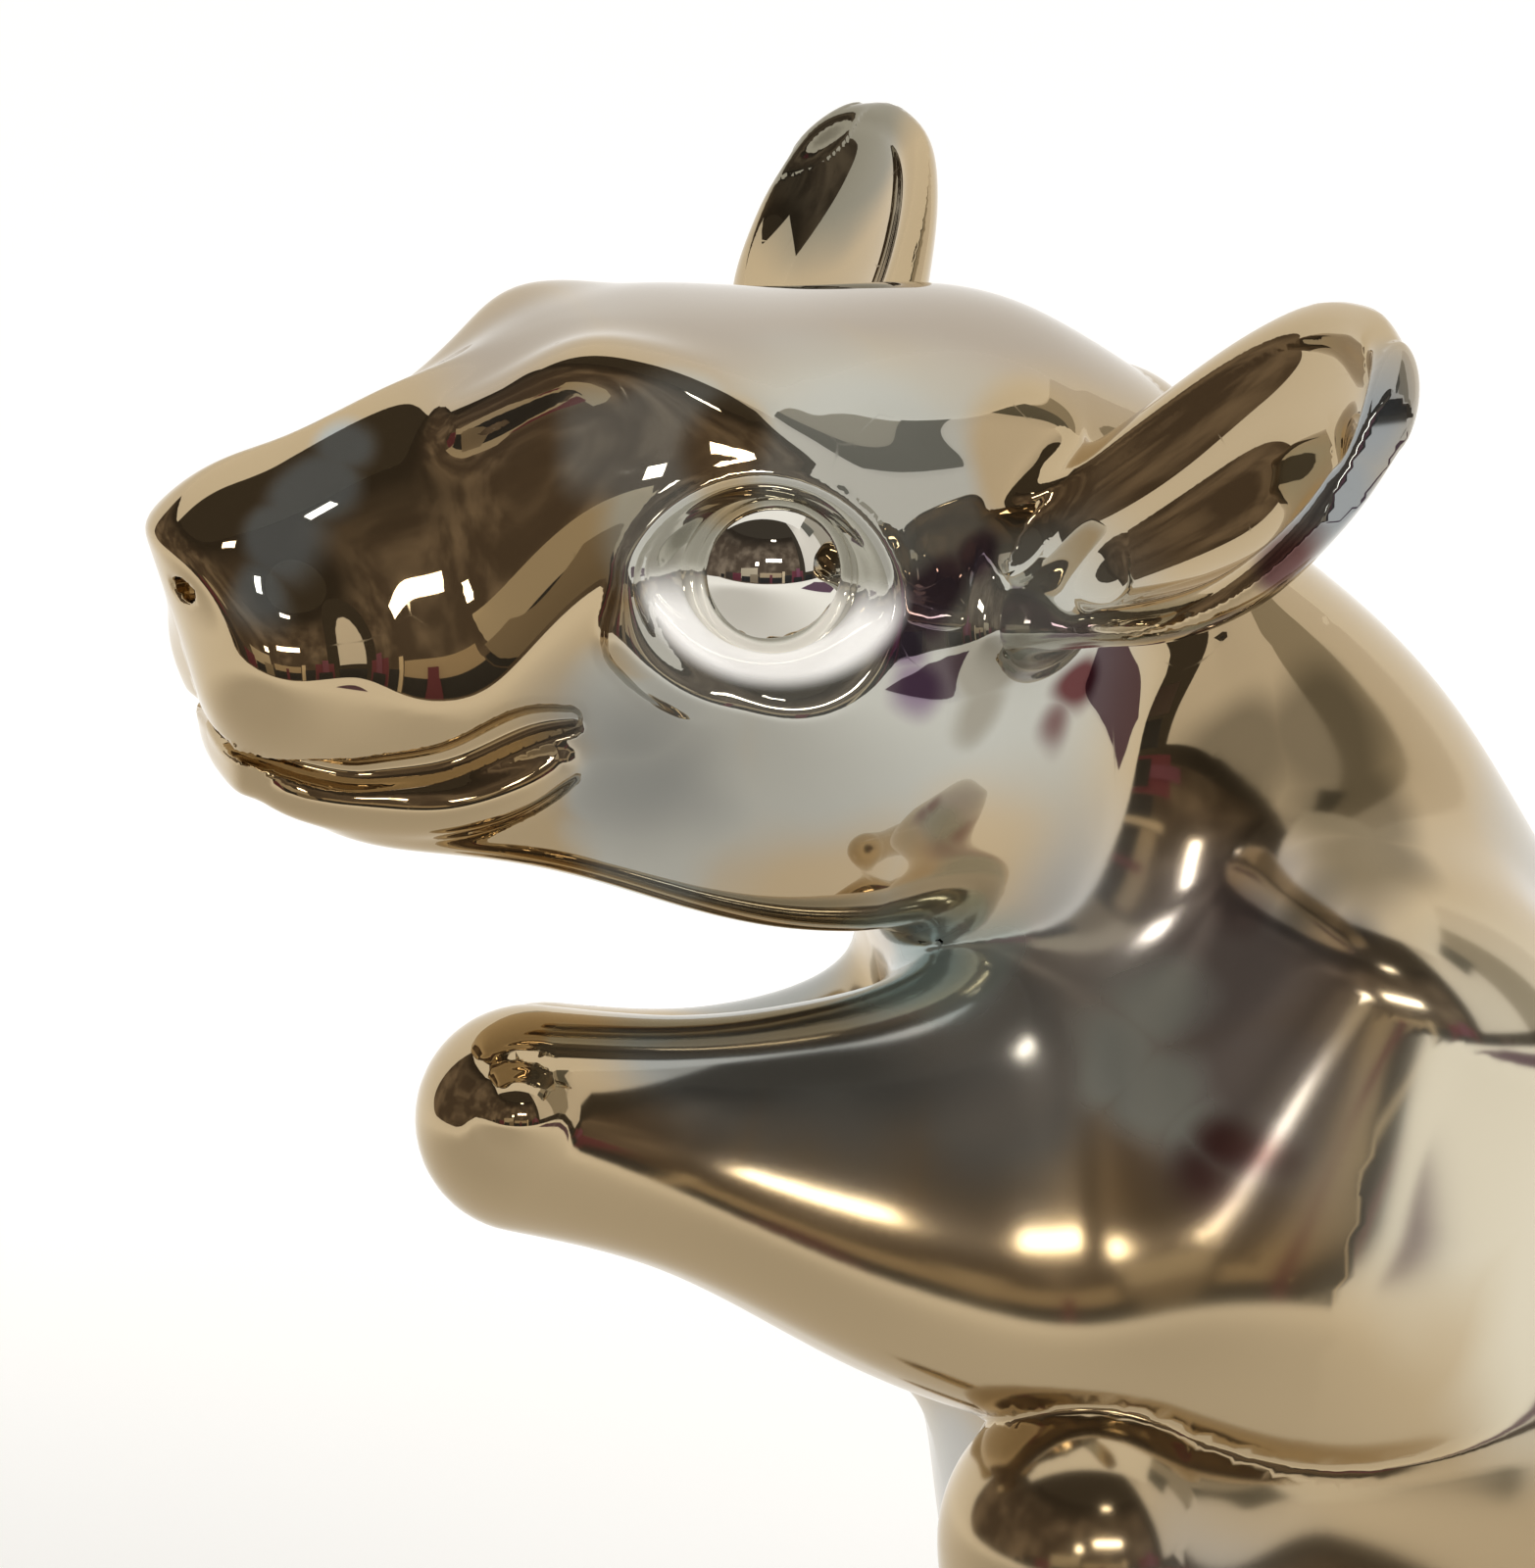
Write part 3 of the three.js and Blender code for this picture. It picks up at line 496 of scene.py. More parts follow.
# Points moved along the slope onto the surface
def settled(field, p, rounds=2, most=0.3):
    for _ in range(rounds):
        slope = slopeOf(field, p)
        move = (field(p) / np.maximum((slope ** 2).sum(-1), 0.05))[:, None] * slope
        far = np.linalg.norm(move, axis=-1, keepdims=True)
        p = p - move * np.minimum(1, most / np.maximum(far, 1e-9))
    return p


# Distance from points to every form, to tell which piece they belong to
def scores(p):
    return np.stack([field(p) for field in fields.values()], -1)


# Cuts the triangles where one piece's form gives way to the next, so that the seams are smooth lines
def splitPieces(verts, quads, field):
    tris = np.concatenate([quads[:, [0, 1, 2]], quads[:, [0, 2, 3]]])
    score = scores(verts)
    label = score.argmin(-1)
    corner = label[tris]
    same = (corner == corner[:, :1]).all(-1)
    done, owner = [tris[same]], [corner[same, 0]]
    mixed, corner = tris[~same], corner[~same]
    lone = np.where(corner[:, 0] == corner[:, 1], 2, np.where(corner[:, 1] == corner[:, 2], 0, 1))
    mixed = np.take_along_axis(mixed, (lone[:, None] + np.arange(3)) % 3, 1)
    corner = label[mixed]
    plain = corner[:, 1] == corner[:, 2]
    done.append(mixed[~plain])
    owner.append(corner[~plain, 0])
    mixed, corner = mixed[plain], corner[plain]
    new = []
    for end in (1, 2):
        a, b = mixed[:, 0], mixed[:, end]
        rows = np.arange(len(a))
        fall = score[a][rows, corner[:, end]] - score[a][rows, corner[:, 0]]
        rise = score[b][rows, corner[:, 0]] - score[b][rows, corner[:, end]]
        share = (fall / np.maximum(fall + rise, 1e-9))[:, None]
        new.append(verts[a] + share * (verts[b] - verts[a]))
    ends = np.sort(np.stack([np.repeat(mixed[:, 0], 2), mixed[:, 1:].ravel()], -1), -1)
    ends, back = np.unique(ends, axis=0, return_inverse=True)
    extra = np.zeros((len(ends), 3))
    extra[back] = np.stack(new, 1).reshape(-1, 3)
    p, q = (len(verts) + back.reshape(-1, 2)).T
    a, b, c = mixed.T
    done += [np.stack([a, p, q], -1), np.stack([p, b, c], -1), np.stack([p, c, q], -1)]
    owner += [corner[:, 0], corner[:, 1], corner[:, 1]]
    verts = np.concatenate([verts, settled(field, extra, 1)])
    return verts, np.concatenate(done), np.concatenate(owner)


# Fan over each open edge of a piece, from the middle of its loop
def capped(verts, tris):
    sides = np.concatenate([tris[:, [0, 1]], tris[:, [1, 2]], tris[:, [2, 0]]])
    codes = sides[:, 0] * len(verts) + sides[:, 1]
    lone = sides[~np.isin(codes, sides[:, 1] * len(verts) + sides[:, 0])]
    after = dict(zip(lone[:, 1].tolist(), lone[:, 0].tolist()))
    middles, fans = [], []
    while after:
        start, nextOne = after.popitem()
        loop = [start]
        while nextOne != start and nextOne in after:
            loop.append(nextOne)
            nextOne = after.pop(nextOne)
        if len(loop) > 2:
            centre = len(verts) + len(middles)
            middles.append(verts[loop].mean(0))
            fans += [(loop[i], loop[(i + 1) % len(loop)], centre) for i in range(len(loop))]
    if not fans:
        return verts, np.zeros((0, 3), int)
    return np.concatenate([verts, middles]), np.array(fans)


# Closed mesh of one piece, with the form's own slope as its normals
def addPiece(name, verts, tris, field):
    used, back = np.unique(tris, return_inverse=True)
    verts, tris = verts[used], back.reshape(-1, 3)
    normals = slopeOf(field, verts)
    normals /= np.maximum(np.linalg.norm(normals, axis=-1, keepdims=True), 1e-9)
    verts, cap = capped(verts, tris)
    mesh = bpy.data.meshes.new(name)
    mesh.from_pydata((verts * mm).tolist(), [], np.concatenate([tris, cap]).tolist())
    mesh.shade_smooth()
    flat = np.cross(verts[cap[:, 1]] - verts[cap[:, 0]], verts[cap[:, 2]] - verts[cap[:, 0]])
    flat /= np.maximum(np.linalg.norm(flat, axis=-1, keepdims=True), 1e-9)
    corners = np.concatenate([normals[tris].reshape(-1, 3), np.repeat(flat, 3, 0)])
    mesh.normals_split_custom_set(corners.tolist())
    piece = bpy.data.objects.new(name, mesh)
    bpy.context.collection.objects.link(piece)
    return piece


# The head is meshed more finely than the body
stepHead, stepBody = ((0.22, 0.5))
headNames = ("head", "left_ear", "right_ear")
bodyNames = tuple(name for name in names if name not in headNames)
regions = [
    (headNames, (-30, -56, 46), (30, -2, 92), stepHead),
    (bodyNames, (-36, -50, -2), (36, 42, 68), stepBody),
]
made = {}
for wanted, low, high, step in regions:
    verts, quads = netOf(whole, low, high, step)
    verts = settled(whole, verts)
    verts, tris, owner = splitPieces(verts, quads, whole)
    for name in wanted:
        title = name.replace("_", " ").title().replace(" ", "")
        made[name] = addPiece(title, verts, tris[owner == names.index(name)], whole)
    print("shaped", wanted, len(verts))


# Eye beads: turned balls in their sockets, each with a fine line engraved round its front
bead = {"columns": 96, "rows": 72, "lineAt": 62, "lineWidth": 3.0, "lineDepth": 0.09}


def eyeBead(side):
    flip = np.array((1, side, 1))
    columns, rows = bead["columns"], bead["rows"]
    turn = np.linspace(0, 2 * np.pi, columns, endpoint=False)
    fall = np.linspace(0, np.pi, rows + 1)[1:-1]
    line = np.exp(-((np.degrees(fall) - bead["lineAt"]) / bead["lineWidth"]) ** 2)
    radius = eye["radius"] - bead["lineDepth"] * line
    around = np.outer(radius * np.sin(fall), np.cos(turn)), np.outer(radius * np.sin(fall), np.sin(turn))
    ring = np.stack([*around, np.outer(radius * np.cos(fall), np.ones(columns))], -1).reshape(-1, 3)
    points = np.concatenate([ring, [(0, 0, eye["radius"]), (0, 0, -eye["radius"])]]) @ eyeAxes + eyeMiddle
    faces = []
    for i in range(columns):
        j = (i + 1) % columns
        faces += [(r * columns + i, (r + 1) * columns + i, (r + 1) * columns + j, r * columns + j)
                  for r in range(rows - 2)]
        last = (rows - 2) * columns
        faces += [(i, j, len(points) - 2), (last + j, last + i, len(points) - 1)]
    if np.linalg.det(eyeAxes) * side < 0:
        faces = [face[::-1] for face in faces]
    mesh = bpy.data.meshes.new("eye bead")
    mesh.from_pydata((fromHead(points * flip) * mm).tolist(), [], faces)
    mesh.shade_smooth()
    piece = bpy.data.objects.new("LeftEye" if side > 0 else "RightEye", mesh)
    bpy.context.collection.objects.link(piece)
    return piece


made["left_eye"], made["right_eye"] = eyeBead(1), eyeBead(-1)


# Shader maths on sockets
class Socket:
    def __init__(self, tree, link=None):
        self.tree, self.link = tree, link

    def node(self, kind, settings=None, inputs=None, output=0):
        fresh = self.tree.nodes.new(kind)
        for key, value in (settings or {}).items():
            setattr(fresh, key, value)
        for key, value in (inputs or {}).items():
            if isinstance(value, Socket):
                value.into(fresh.inputs[key])
            else:
                fresh.inputs[key].default_value = value
        return Socket(self.tree, fresh.outputs[output])

    def into(self, target):
        self.tree.links.new(self.link, target)

    def math(self, operation, other=0.0):
        return self.node("ShaderNodeMath", {"operation": operation}, {0: self, 1: other})

    def vector(self, operation, other=(0, 0, 0), output=0):
        return self.node("ShaderNodeVectorMath", {"operation": operation}, {0: self, 1: other}, output)

    def distance(self, point):
        return self.vector("DISTANCE", tuple(point), 1)

    def dot(self, axis):
        return self.vector("DOT_PRODUCT", tuple(axis), 1)

    def __add__(self, other):
        return self.math("ADD", other)

    def __radd__(self, other):
        return self.math("ADD", other)

    def __mul__(self, other):
        return self.math("MULTIPLY", other)

    def __rmul__(self, other):
        return self.math("MULTIPLY", other)

    def __sub__(self, other):
        return self.math("SUBTRACT", other)

    def __rsub__(self, other):
        return (self * -1.0) + other

    def ramp(self, low, high):
        smooth = {"interpolation_type": "SMOOTHSTEP"}
        return self.node("ShaderNodeMapRange", smooth, {0: self, 1: low, 2: high})

    def mix(self, first, second):
        return self.node("ShaderNodeMix", {"data_type": "RGBA"}, {0: self, 6: first, 7: second}, 2)

    def noise(self, scale, detail, output=0):
        return self.node("ShaderNodeTexNoise", {}, {"Vector": self, "Scale": scale, "Detail": detail}, output)


# New material and the inputs of its surface shader
def startMaterial(name):
    material = bpy.data.materials.new(name)
    material.use_nodes = True
    return material, material.node_tree.nodes["Principled BSDF"].inputs


# The object's own coordinates
def ownPlace(material):
    return Socket(material.node_tree).node("ShaderNodeTexCoord", output=3)


# Lustre: champagne gold and cool silver in soft patches, both near-perfect mirrors. Some patches are painted
# reflections and painted shade, and the eye sockets carry painted highlights.
lustre = {
    "gold": (0.50, 0.39, 0.24, 1), "goldMetal": 0.97, "eye": (0.74, 0.72, 0.66, 1), "eyeRoughness": 0.015,
    "roughness": 0.02, "softRoughness": 0.14,
    "focus": (58, 67), "focusLean": -0.5,  # height where soft polish turns sharp, lower in front
    "waver": 2.0, "waverScale": 160.0,  # wander of a patch's edge, in millimetres
    "worn": 0.16, "scratchScale": 210.0, "scratchWidth": 0.012, "faintScale": 420.0, "faint": (0.52, 0.66),
    # Painted highlight under each bead: its near-white colour and the painted glow it is given
    "highlightCrescent": (0.98, 0.97, 0.95, 1), "glint": (0.45, 0.45, 0.44, 1),
    "highlightCrescentReach": (2.6, 3.9), "highlightCrescentEdge": 0.35, "highlightCrescentSquash": 0.8,
    "highlightCrescentTop": (-1.6, 0.4), "highlightCrescentFar": (6.0, 7.0),
    "headLayers": [  # colour, metal, softness of the edge, then middles in head axes with their radii
        ((0.42, 0.365, 0.30, 1), 0.97, 2.5, [((2, 0, 11), 7), ((-8, 0, 10), 8), ((10, 0, 9.5), 4)]),
        ((0.52, 0.52, 0.47, 1), 0.8, 3.0, [((-3, 12, -2), 8.4), ((-1, 11, -6), 6.5), ((-1, 10, 5), 6.5)]),
        ((0.52, 0.52, 0.47, 1), 0.8, 0.5, [
            ((7.0, 6.0, 6.4), 3.0), ((5.6, 8.0, 4.4), 3.3), ((5.0, 9.6, 1.0), 3.2),
            ((5.8, 8.6, -2.6), 3.2), ((5.4, 8.6, -5.4), 3.2), ((5.4, 6.6, -8.6), 3.4)]),
        ((0.33, 0.335, 0.315, 1), 0.8, 2.0, [((7.6, 8.6, -3.6), 1.8), ((6.4, 8.8, -5.4), 2.2)]),
        ((0.47, 0.50, 0.49, 1), 0.8, 0.5, [
            ((20.2, 4.3, 0.7), 1.2), ((19.1, 3.4, 2.3), 1.6), ((17.9, 2.5, 3.9), 1.6),
            ((16.8, 1.6, 5.4), 1.2)]),
        ((0.50, 0.39, 0.24, 1), 0.97, 0.7, [((4.4, 8.3, 6.7), 1.7), ((-7.8, 9.0, 6.6), 3.2)]),
        ((0.56, 0.44, 0.28, 1), 0.97, 2.2, [((-0.5, 10.4, -10.0), 3.6), ((-5.6, 11.2, -8.4), 3.4)]),
        # Painted reflections on the cheek behind the eye: purple, brown-grey and dark maroon patches
        ((0.25, 0.19, 0.25, 1), 0.9, 0.5, [
            ((-1.7, 12.1, 1.3), 1.3), ((-3.4, 11.6, 2.6), 1.4), ((-5.0, 11.1, 3.6), 1.0),
            ((-2.2, 12.5, -0.5), 1.1)]),
        ((0.33, 0.31, 0.255, 1), 0.9, 0.45, [((-5.4, 12.4, -0.2), 1.6), ((-5.0, 12.2, -1.9), 1.3)]),
        ((0.13, 0.045, 0.045, 1), 0.9, 0.4, [((-9.4, 11.3, -2.2), 1.1), ((-8.6, 11.3, -3.8), 0.8)])],
    "bodyLayers": [  # the same, with middles in the rat's frame
        # Partly cool silver lustre, partly painted dark reflection: a darker neutral grey on the forearms
        ((0.36, 0.37, 0.35, 1), 0.88, 2.0, [
            ((9, -25.5, 46.5), 4.8), ((7.5, -30, 47.4), 4.0), ((11.5, -20, 44.5), 4.0), ((-9, -22, 44), 5)]),
        ((0.50, 0.49, 0.46, 1), 0.8, 3.0, [
            ((7, -16, 48), 7.5), ((12, 10, 52), 7), ((17, -14, 24), 5), ((-12, -4, 48), 9),
            ((0, 24, 40), 9), ((-17, 12, 22), 8), ((18, 14, 16), 7), ((-14, -12, 30), 5), ((0, -12, 20), 8)]),
        ((0.47, 0.45, 0.46, 1), 0.9, 2.5, [
            ((14, -10.5, 49.5), 4.6), ((16.5, -11, 45), 4.2), ((-14, -8, 48), 5)]),
        ((0.42, 0.50, 0.49, 1), 0.6, 1.0, [((6, -20.5, 50), 4.2)]),
        # Painted reflections near the left shoulder: small grey-green patches
        ((0.42, 0.45, 0.42, 1), 0.55, 0.9, [
            ((13.0, -15.2, 46.0), 1.9), ((14.4, -13.8, 44.8), 1.9), ((13.1, -13.6, 48.2), 1.8),
            ((15.6, -13.0, 43.6), 1.4)]),
        # Painted reflections: dark maroon patches by the left shoulder and neck
        ((0.20, 0.10, 0.10, 1), 0.9, 0.8, [
            ((16.8, -12.0, 43.0), 1.2), ((16.0, -13.2, 41.8), 1.2), ((13, -10.2, 52.0), 1.4)]),
        # Painted shadow: a dark brown band down the left side of the nape
        ((0.23, 0.18, 0.11, 1), 0.95, 1.2, [
            ((10.9, -9.0, 57.4), 2.4), ((10.9, -5.7, 57.4), 2.8), ((12.4, -5.2, 55.2), 2.8),
            ((14.6, -5.6, 53.4), 2.4)]),
        # Painted shade: a near-black streak along the left side of the neck
        ((0.05, 0.055, 0.055, 1), 0.95, 0.7, [
            ((13.0, -8.9, 52.6), 1.4), ((14.8, -8.0, 51.6), 1.4), ((16.4, -7.0, 50.6), 1.2)]),
        ((0.27, 0.25, 0.19, 1), 0.95, 1.5, [((-20.5, -13, 79), 4.6)]),
        # Painted reflections on the left ear: a grey-blue patch and a small dark maroon one
        ((0.30, 0.32, 0.33, 1), 0.9, 1.8, [((28, -14.2, 72.3), 2.4), ((28, -15.1, 70), 2.4)]),
        ((0.16, 0.08, 0.075, 1), 0.9, 0.6, [((27.4, -16.5, 68), 1.4)]),
        ((0.66, 0.60, 0.47, 1), 0.95, 3.0, [
            ((19, -3, 43), 7), ((18, 5, 38), 9), ((-19, -3, 43), 7), ((-18, 5, 38), 9)])],
}


# Soft round spots as one mask
def spotMask(place, spots, edge):
    mask = None
    for at, radius in spots:
        spot = 1.0 - place.distance(np.array(at) * mm).ramp((radius - edge) * mm, (radius + edge) * mm)
        mask = spot if mask is None else mask.math("MAXIMUM", spot)
    return mask


# Painted highlight: a bright arc in the socket under the bead
def highlightCrescentMask(place, side):
    flip = np.array((1, side, 1))
    away = place.vector("SUBTRACT", tuple(fromHead(eyeMiddle * flip) * mm))
    along, up = (away.dot((axis * flip) @ headAxes / mm) for axis in eyeAxes[:2])
    along = along * lustre["highlightCrescentSquash"]
    ring = (along * along + up * up).math("SQRT")
    inner, outer = lustre["highlightCrescentReach"]
    edge = lustre["highlightCrescentEdge"]
    mask = ring.ramp(inner - edge, inner + edge) * (1.0 - ring.ramp(outer - edge, outer + edge))
    close = 1.0 - away.vector("LENGTH", output=1).ramp(*np.array(lustre["highlightCrescentFar"]) * mm)
    return mask * (1.0 - up.ramp(*lustre["highlightCrescentTop"])) * close


# Head spots on both sides, as points in the rat's frame
def onHead(spots):
    return [(fromHead(np.array(at) * (1, side, 1)), radius) for at, radius in spots for side in (1, -1)]


# The whole coat: patches, some of them painted reflections and painted shade, painted highlight arcs under
# the beads that also glow, fine scratches on the head and a softer polish low on the body
def lustreAndPaintedLightMaterial():
    material, surface = startMaterial("lustre")
    place = ownPlace(material)
    wander = place.noise(lustre["waverScale"], 1.0, 1).vector("SUBTRACT", (0.5, 0.5, 0.5))
    shift = wander.node("ShaderNodeVectorMath", {"operation": "SCALE"},
                        {0: wander, "Scale": 2 * lustre["waver"] * mm})
    loose = place.vector("ADD", shift)
    tint, metal = lustre["gold"], lustre["goldMetal"]
    headLayers = [(*row, onHead(spots)) for *row, spots in lustre["headLayers"]]
    for colour, metallic, edge, spots in lustre["bodyLayers"] + headLayers:
        mask = spotMask(loose, spots, edge)
        tint = mask.mix(tint, colour)
        metal = mask * (metallic - metal) + metal
    # Painted highlights under the beads: near-white colour, no metal, and a painted glow through the emission
    # colour
    mask = highlightCrescentMask(place, 1) + highlightCrescentMask(place, -1)
    mask.mix(tint, lustre["highlightCrescent"]).into(surface["Base Color"])
    (metal * (1.0 - mask)).into(surface["Metallic"])
    mask.mix((0, 0, 0, 1), lustre["glint"]).into(surface["Emission Color"])
    surface["Emission Strength"].default_value = 1.0
    sharp = place.dot((0, lustre["focusLean"] / mm, 1 / mm)).ramp(*lustre["focus"])
    polish = sharp * (lustre["roughness"] - lustre["softRoughness"]) + lustre["softRoughness"]
    lines = loose.node("ShaderNodeTexVoronoi", {"feature": "DISTANCE_TO_EDGE"},
                       {"Vector": loose, "Scale": lustre["scratchScale"]})
    faint = place.noise(lustre["faintScale"], 2.0).ramp(*lustre["faint"])
    scratch = (1.0 - lines.ramp(0.0, lustre["scratchWidth"])) * faint * sharp
    (scratch * lustre["worn"] + polish).into(surface["Roughness"])
    return material


# The beads are plain polished silver
def eyeMaterial():
    material, surface = startMaterial("eye lustre")
    surface["Base Color"].default_value = lustre["eye"]
    surface["Metallic"].default_value = 1.0
    surface["Roughness"].default_value = lustre["eyeRoughness"]
    return material


shine, eyeShine = lustreAndPaintedLightMaterial(), eyeMaterial()
for name, piece in made.items():
    piece.data.materials.append(eyeShine if name.endswith("_eye") else shine)
    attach(piece, "root")
    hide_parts(name)
print("lustre on", len(made), "pieces")


# Camera at the photograph's angle, a hand's breadth from the head
camera = {
    "eye": (138.61, -79.32, 86.78), "right": (0.3657, 0.9308, 0),
    "up": (-0.1935, 0.076, 0.9781), "back": (0.9104, -0.3577, 0.2079),
    "lens": 86.94, "sensor": 36, "clip": (0.005, 20),
}
view = bpy.data.cameras.new("camera")
view.sensor_width, view.lens = camera["sensor"], camera["lens"]
view.clip_start, view.clip_end = camera["clip"]
cameraObject = bpy.data.objects.new("camera", view)
bpy.context.collection.objects.link(cameraObject)
turn = Matrix((camera["right"], camera["up"], camera["back"])).transposed().to_4x4()
cameraObject.matrix_world = Matrix.Translation(Vector(camera["eye"]) * mm) @ turn
bpy.context.scene.camera = cameraObject
bpy.context.scene.view_settings.view_transform = "Standard"


# Stage in metres: white board with a sweep behind, pale wall on the right, lamps and dim surround in front
stage = {
    "front": 0.42, "back": 0.42, "bend": 0.25, "height": 1.0, "width": 0.95, "bendSteps": 12,
    "ceiling": [[(-0.42, -0.95), (-0.42, 0.62)], [(0.14, -0.95), (0.36, 0.62)]],  # forward and right
    "white": (0.25, 0.247, 0.24, 1), "glow": 3.5, "roughness": 0.8,
    "shade": (0.135, 0.13, 0.122, 1), "shadeAt": (0.10, -0.12, 0.0), "shadeReach": (0.05, 0.24),
    "world": (0.055, 0.046, 0.036, 1),
    "surroundRadius": 1.5, "surroundTurn": (-125, 38), "surroundColumns": 24,
    "surroundRows": (-0.6, 0.5, 1.7),
    "dark": (0.085, 0.062, 0.045, 1), "pale": (0.24, 0.19, 0.145, 1), "top": (0.03, 0.023, 0.017, 1),
    "mottle": 2.6, "mottleReach": (0.40, 0.70), "topReach": (0.7, 1.6),
}
toRight = np.array(camera["right"])
toCamera = np.array((toRight[1], -toRight[0], 0.0))


# Point on the stage, seen from the camera
def stagePoint(forward, right, up):
    return tuple(toCamera * forward + toRight * right + np.array((0, 0, up)))


# Matt card with a glow of its own colour
def plainMaterial(name, colour, glow):
    material, surface = startMaterial(name)
    surface["Base Color"].default_value = colour
    surface["Roughness"].default_value = stage["roughness"]
    surface["Emission Color"].default_value = colour
    surface["Emission Strength"].default_value = glow
    return material


# Sheet over rows of stage points
def card(name, rows, material):
    wide = len(rows[0])
    faces = [(r * wide + c, r * wide + c + 1, (r + 1) * wide + c + 1, (r + 1) * wide + c)
             for r in range(len(rows) - 1) for c in range(wide - 1)]
    mesh = bpy.data.meshes.new(name)
    mesh.from_pydata([stagePoint(*point) for row in rows for point in row], [], faces)
    mesh.materials.append(material)
    mesh.shade_smooth()
    sheet = bpy.data.objects.new(name, mesh)
    bpy.context.collection.objects.link(sheet)


# Flat card with two of its three places given as spans
def flatCard(name, forward, right, up, colour, glow):
    spans = [span if isinstance(span, tuple) else (span,) for span in (forward, right, up)]
    corners = [(f, r, u) for u in spans[2] for r in spans[1] for f in spans[0]]
    card(name, [corners[:2], corners[2:]], plainMaterial(name, colour, glow))


# White board, softly shaded in front of the figure
def boardMaterial():
    material, surface = startMaterial("white board")
    place = ownPlace(material)
    surface["Base Color"].default_value = stage["white"]
    surface["Roughness"].default_value = stage["roughness"]
    surface["Emission Strength"].default_value = stage["glow"]
    away = place.distance(stagePoint(*stage["shadeAt"]))
    away.ramp(*stage["shadeReach"]).mix(stage["shade"], stage["white"]).into(surface["Emission Color"])
    return material


# Dim surround, mottled so that the mirror has something to show
def surroundMaterial():
    material, surface = startMaterial("dim surround")
    place = ownPlace(material)
    cloud = place.noise(stage["mottle"], 3.0)
    height = place.node("ShaderNodeSeparateXYZ", {}, {0: place}, 2)
    tint = cloud.ramp(*stage["mottleReach"]).mix(stage["dark"], stage["pale"])
    height.ramp(*stage["topReach"]).mix(tint, stage["top"]).into(surface["Emission Color"])
    surface["Base Color"].default_value = (0, 0, 0, 1)
    surface["Roughness"].default_value = stage["roughness"]
    surface["Emission Strength"].default_value = 1.0
    return material


white = boardMaterial()
profile = [(stage["front"], 0.0), (0.0, 0.0), (stage["bend"] - stage["back"], 0.0)]
for angle in np.linspace(0, np.pi / 2, stage["bendSteps"] + 1)[1:]:
    ahead, up = stage["bend"] * (1 - np.sin(angle)), stage["bend"] * (1 - np.cos(angle))
    profile.append((ahead - stage["back"], up))
profile.append((-stage["back"], stage["height"]))
card("sweep", [[(f, side * stage["width"], u) for side in (-1, 1)] for f, u in profile], white)
card("ceiling", [[(f, r, stage["height"]) for f, r in row] for row in stage["ceiling"]], white)
turns = np.radians(np.linspace(*stage["surroundTurn"], stage["surroundColumns"]))
circle = stage["surroundRadius"] * np.stack([np.cos(turns), np.sin(turns)], -1)
card("surround", [[(*point, up) for point in circle] for up in stage["surroundRows"]], surroundMaterial())

# Cards that the mirror shows: forward, right and up, colour and glow
lampColour = (1.0, 0.93, 0.82, 1)
flatCards = {
    "wall": ((-0.42, 0.64), 0.62, (0.12, 2.0), (0.30, 0.29, 0.275, 1), 2.1),
    "grey card": ((-0.14, 0.15), 0.61, (0.12, 0.98), (0.15, 0.14, 0.12, 1), 2.0),
    "dark card": ((0.09, 0.27), 0.60, (0.62, 0.98), (0.09, 0.09, 0.08, 1), 0.8),
    "pale card": (1.2, (-0.95, -0.34), (0.0, 0.30), (0.20, 0.175, 0.135, 1), 2.0),
    "lamp panel": (1.15, (-0.12, 0.30), (0.44, 0.53), lampColour, 9.0),
    "second panel": ((0.86, 0.92), (0.02, 0.14), 0.95, lampColour, 9.0),
    "third panel": (1.08, (-0.37, -0.29), (0.33, 0.42), lampColour, 9.0),
}
for name, values in flatCards.items():
    flatCard(name, *values)

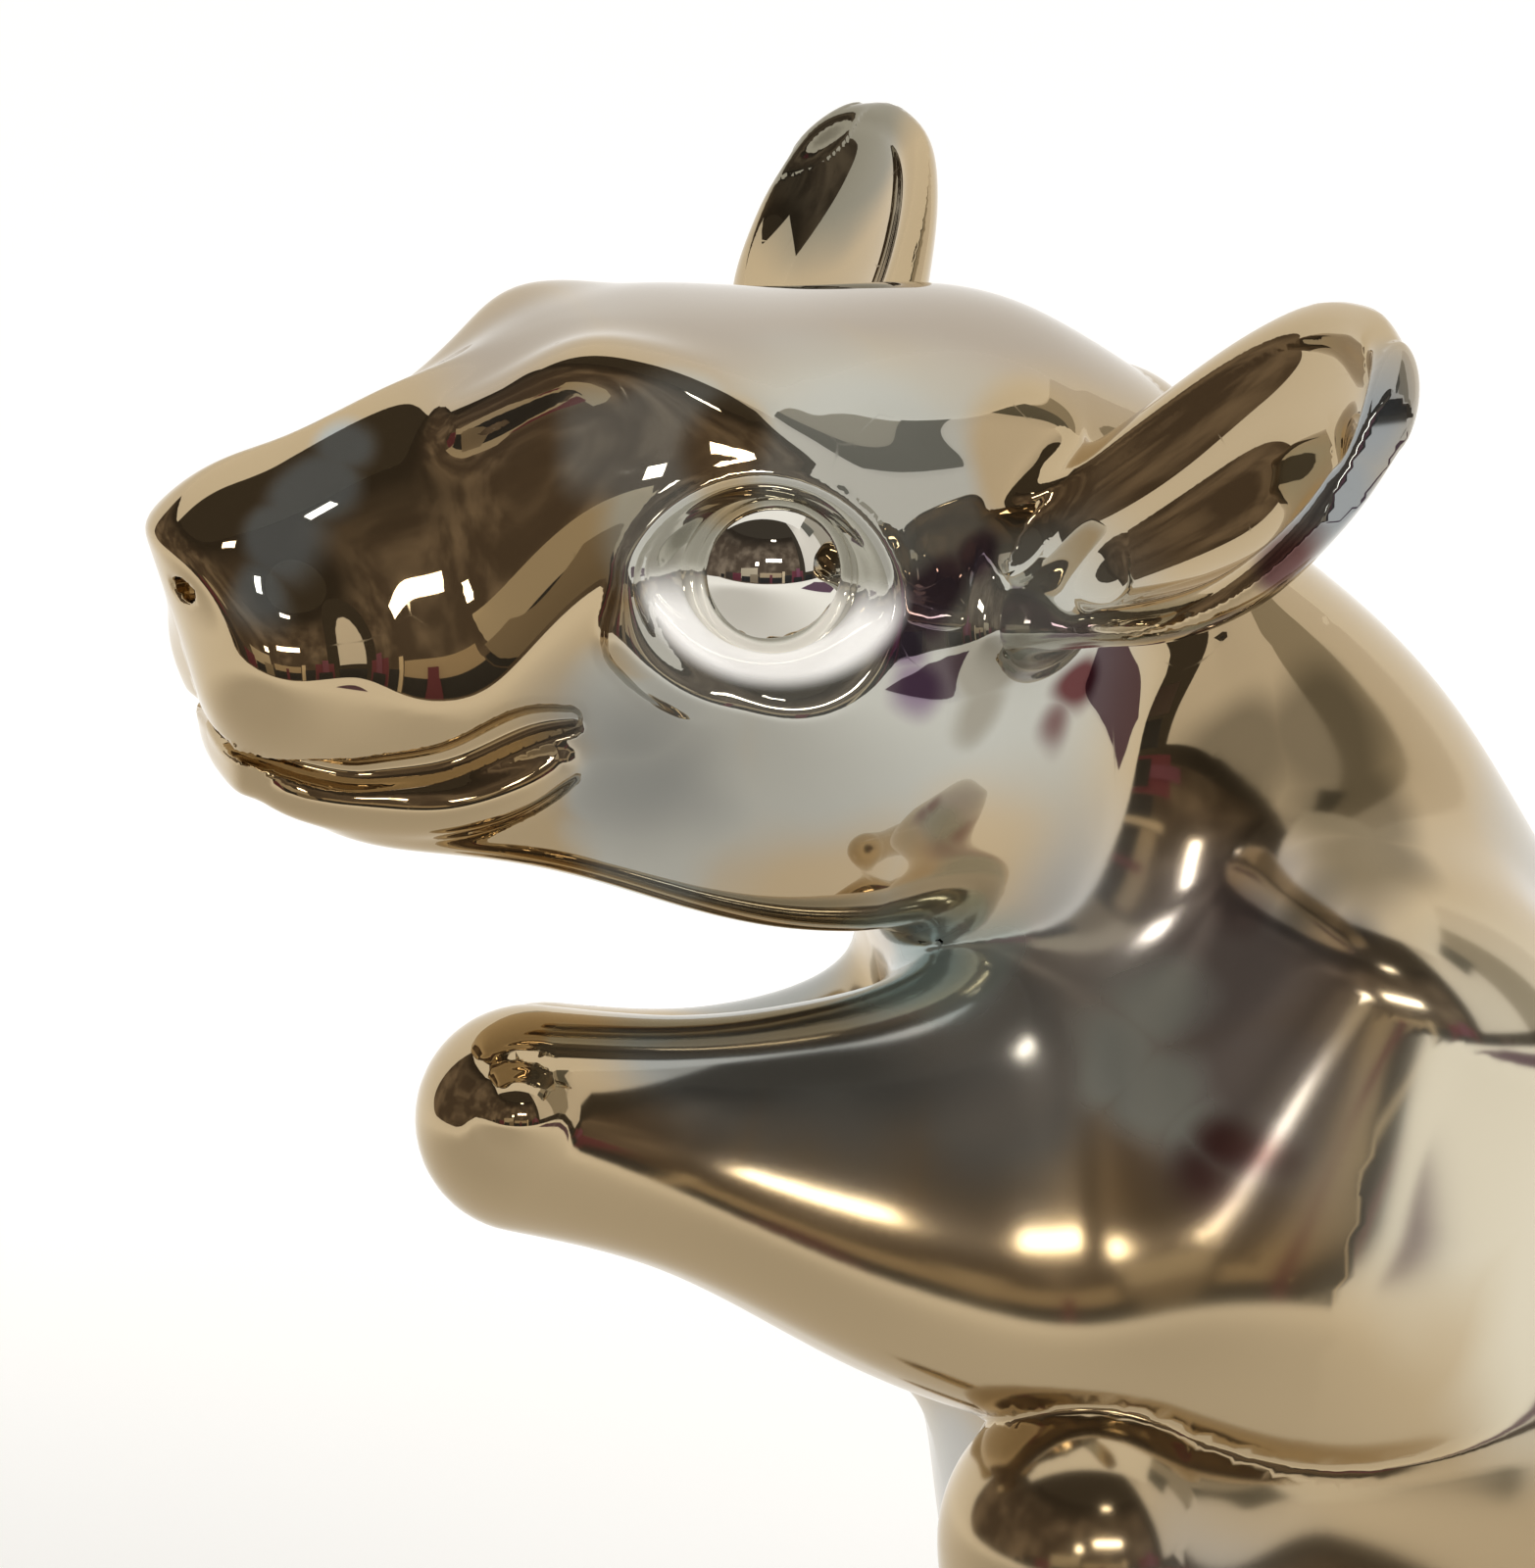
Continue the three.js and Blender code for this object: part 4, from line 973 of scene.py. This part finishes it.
# Row of low cards along the board's front: left edge, width, height, colour
lowRow = {"forward": 0.67, "step": 0.01, "past": 0.02, "glow": 0.5}
black, maroon, beige = (0.02, 0.02, 0.022, 1), (0.12, 0.028, 0.045, 1), (0.36, 0.29, 0.20, 1)
lowCards = [
    (-1.6, 0.5, 0.05, black), (-1.0, 0.28, 0.10, (0.05, 0.04, 0.035, 1)), (-0.7, 0.22, 0.09, maroon),
    (-0.46, 0.30, 0.045, black), (-0.30, 0.12, 0.075, (0.22, 0.18, 0.13, 1)), (-0.15, 0.29, 0.095, beige),
    (-0.15, 0.29, 0.035, black), (-0.02, 0.03, 0.07, maroon), (0.14, 0.035, 0.11, (0.55, 0.46, 0.33, 1)),
    (0.17, 0.10, 0.06, black), (0.27, 0.21, 0.115, maroon), (0.34, 0.07, 0.15, (0.15, 0.05, 0.09, 1)),
    (0.29, 0.15, 0.03, black), (0.50, 0.22, 0.05, black), (0.74, 0.30, 0.075, (0.07, 0.05, 0.045, 1))]
for i, (left, width, height, colour) in enumerate(lowCards):
    forward = lowRow["forward"] - lowRow["step"] * i
    span, rise = (left, left + width), (-lowRow["past"], height + lowRow["past"])
    flatCard("low card %d" % i, forward, span, rise, colour, lowRow["glow"])

# Plum sheet lying on the board to the right: forward and right of its near and far edge
sheetHeight = 0.002
sheetEdges = [
    [(0.03, 0.15), (0.01, 0.21), (0.05, 0.25), (0.02, 0.33)],
    [(0.20, 0.13), (0.22, 0.20), (0.23, 0.27), (0.25, 0.34)]]
plum = plainMaterial("plum sheet", (0.09, 0.045, 0.085, 1), 0.5)
card("plum sheet", [[(*point, sheetHeight) for point in row] for row in sheetEdges], plum)

world = bpy.data.worlds.new("surround")
bpy.context.scene.world = world
world.use_nodes = True
world.node_tree.nodes["Background"].inputs[0].default_value = stage["world"]

# Soft lamp from above that the mirror itself doesn't show
keyLamp = {"energy": 13, "size": 0.6, "at": (0.1, -0.1, 1.3)}
lamp = bpy.data.lights.new("key", "AREA")
lamp.energy, lamp.size = keyLamp["energy"], keyLamp["size"]
lampObject = bpy.data.objects.new("key", lamp)
bpy.context.collection.objects.link(lampObject)
lampObject.location = keyLamp["at"]
lampObject.visible_glossy = False
print("stage and lamp set")
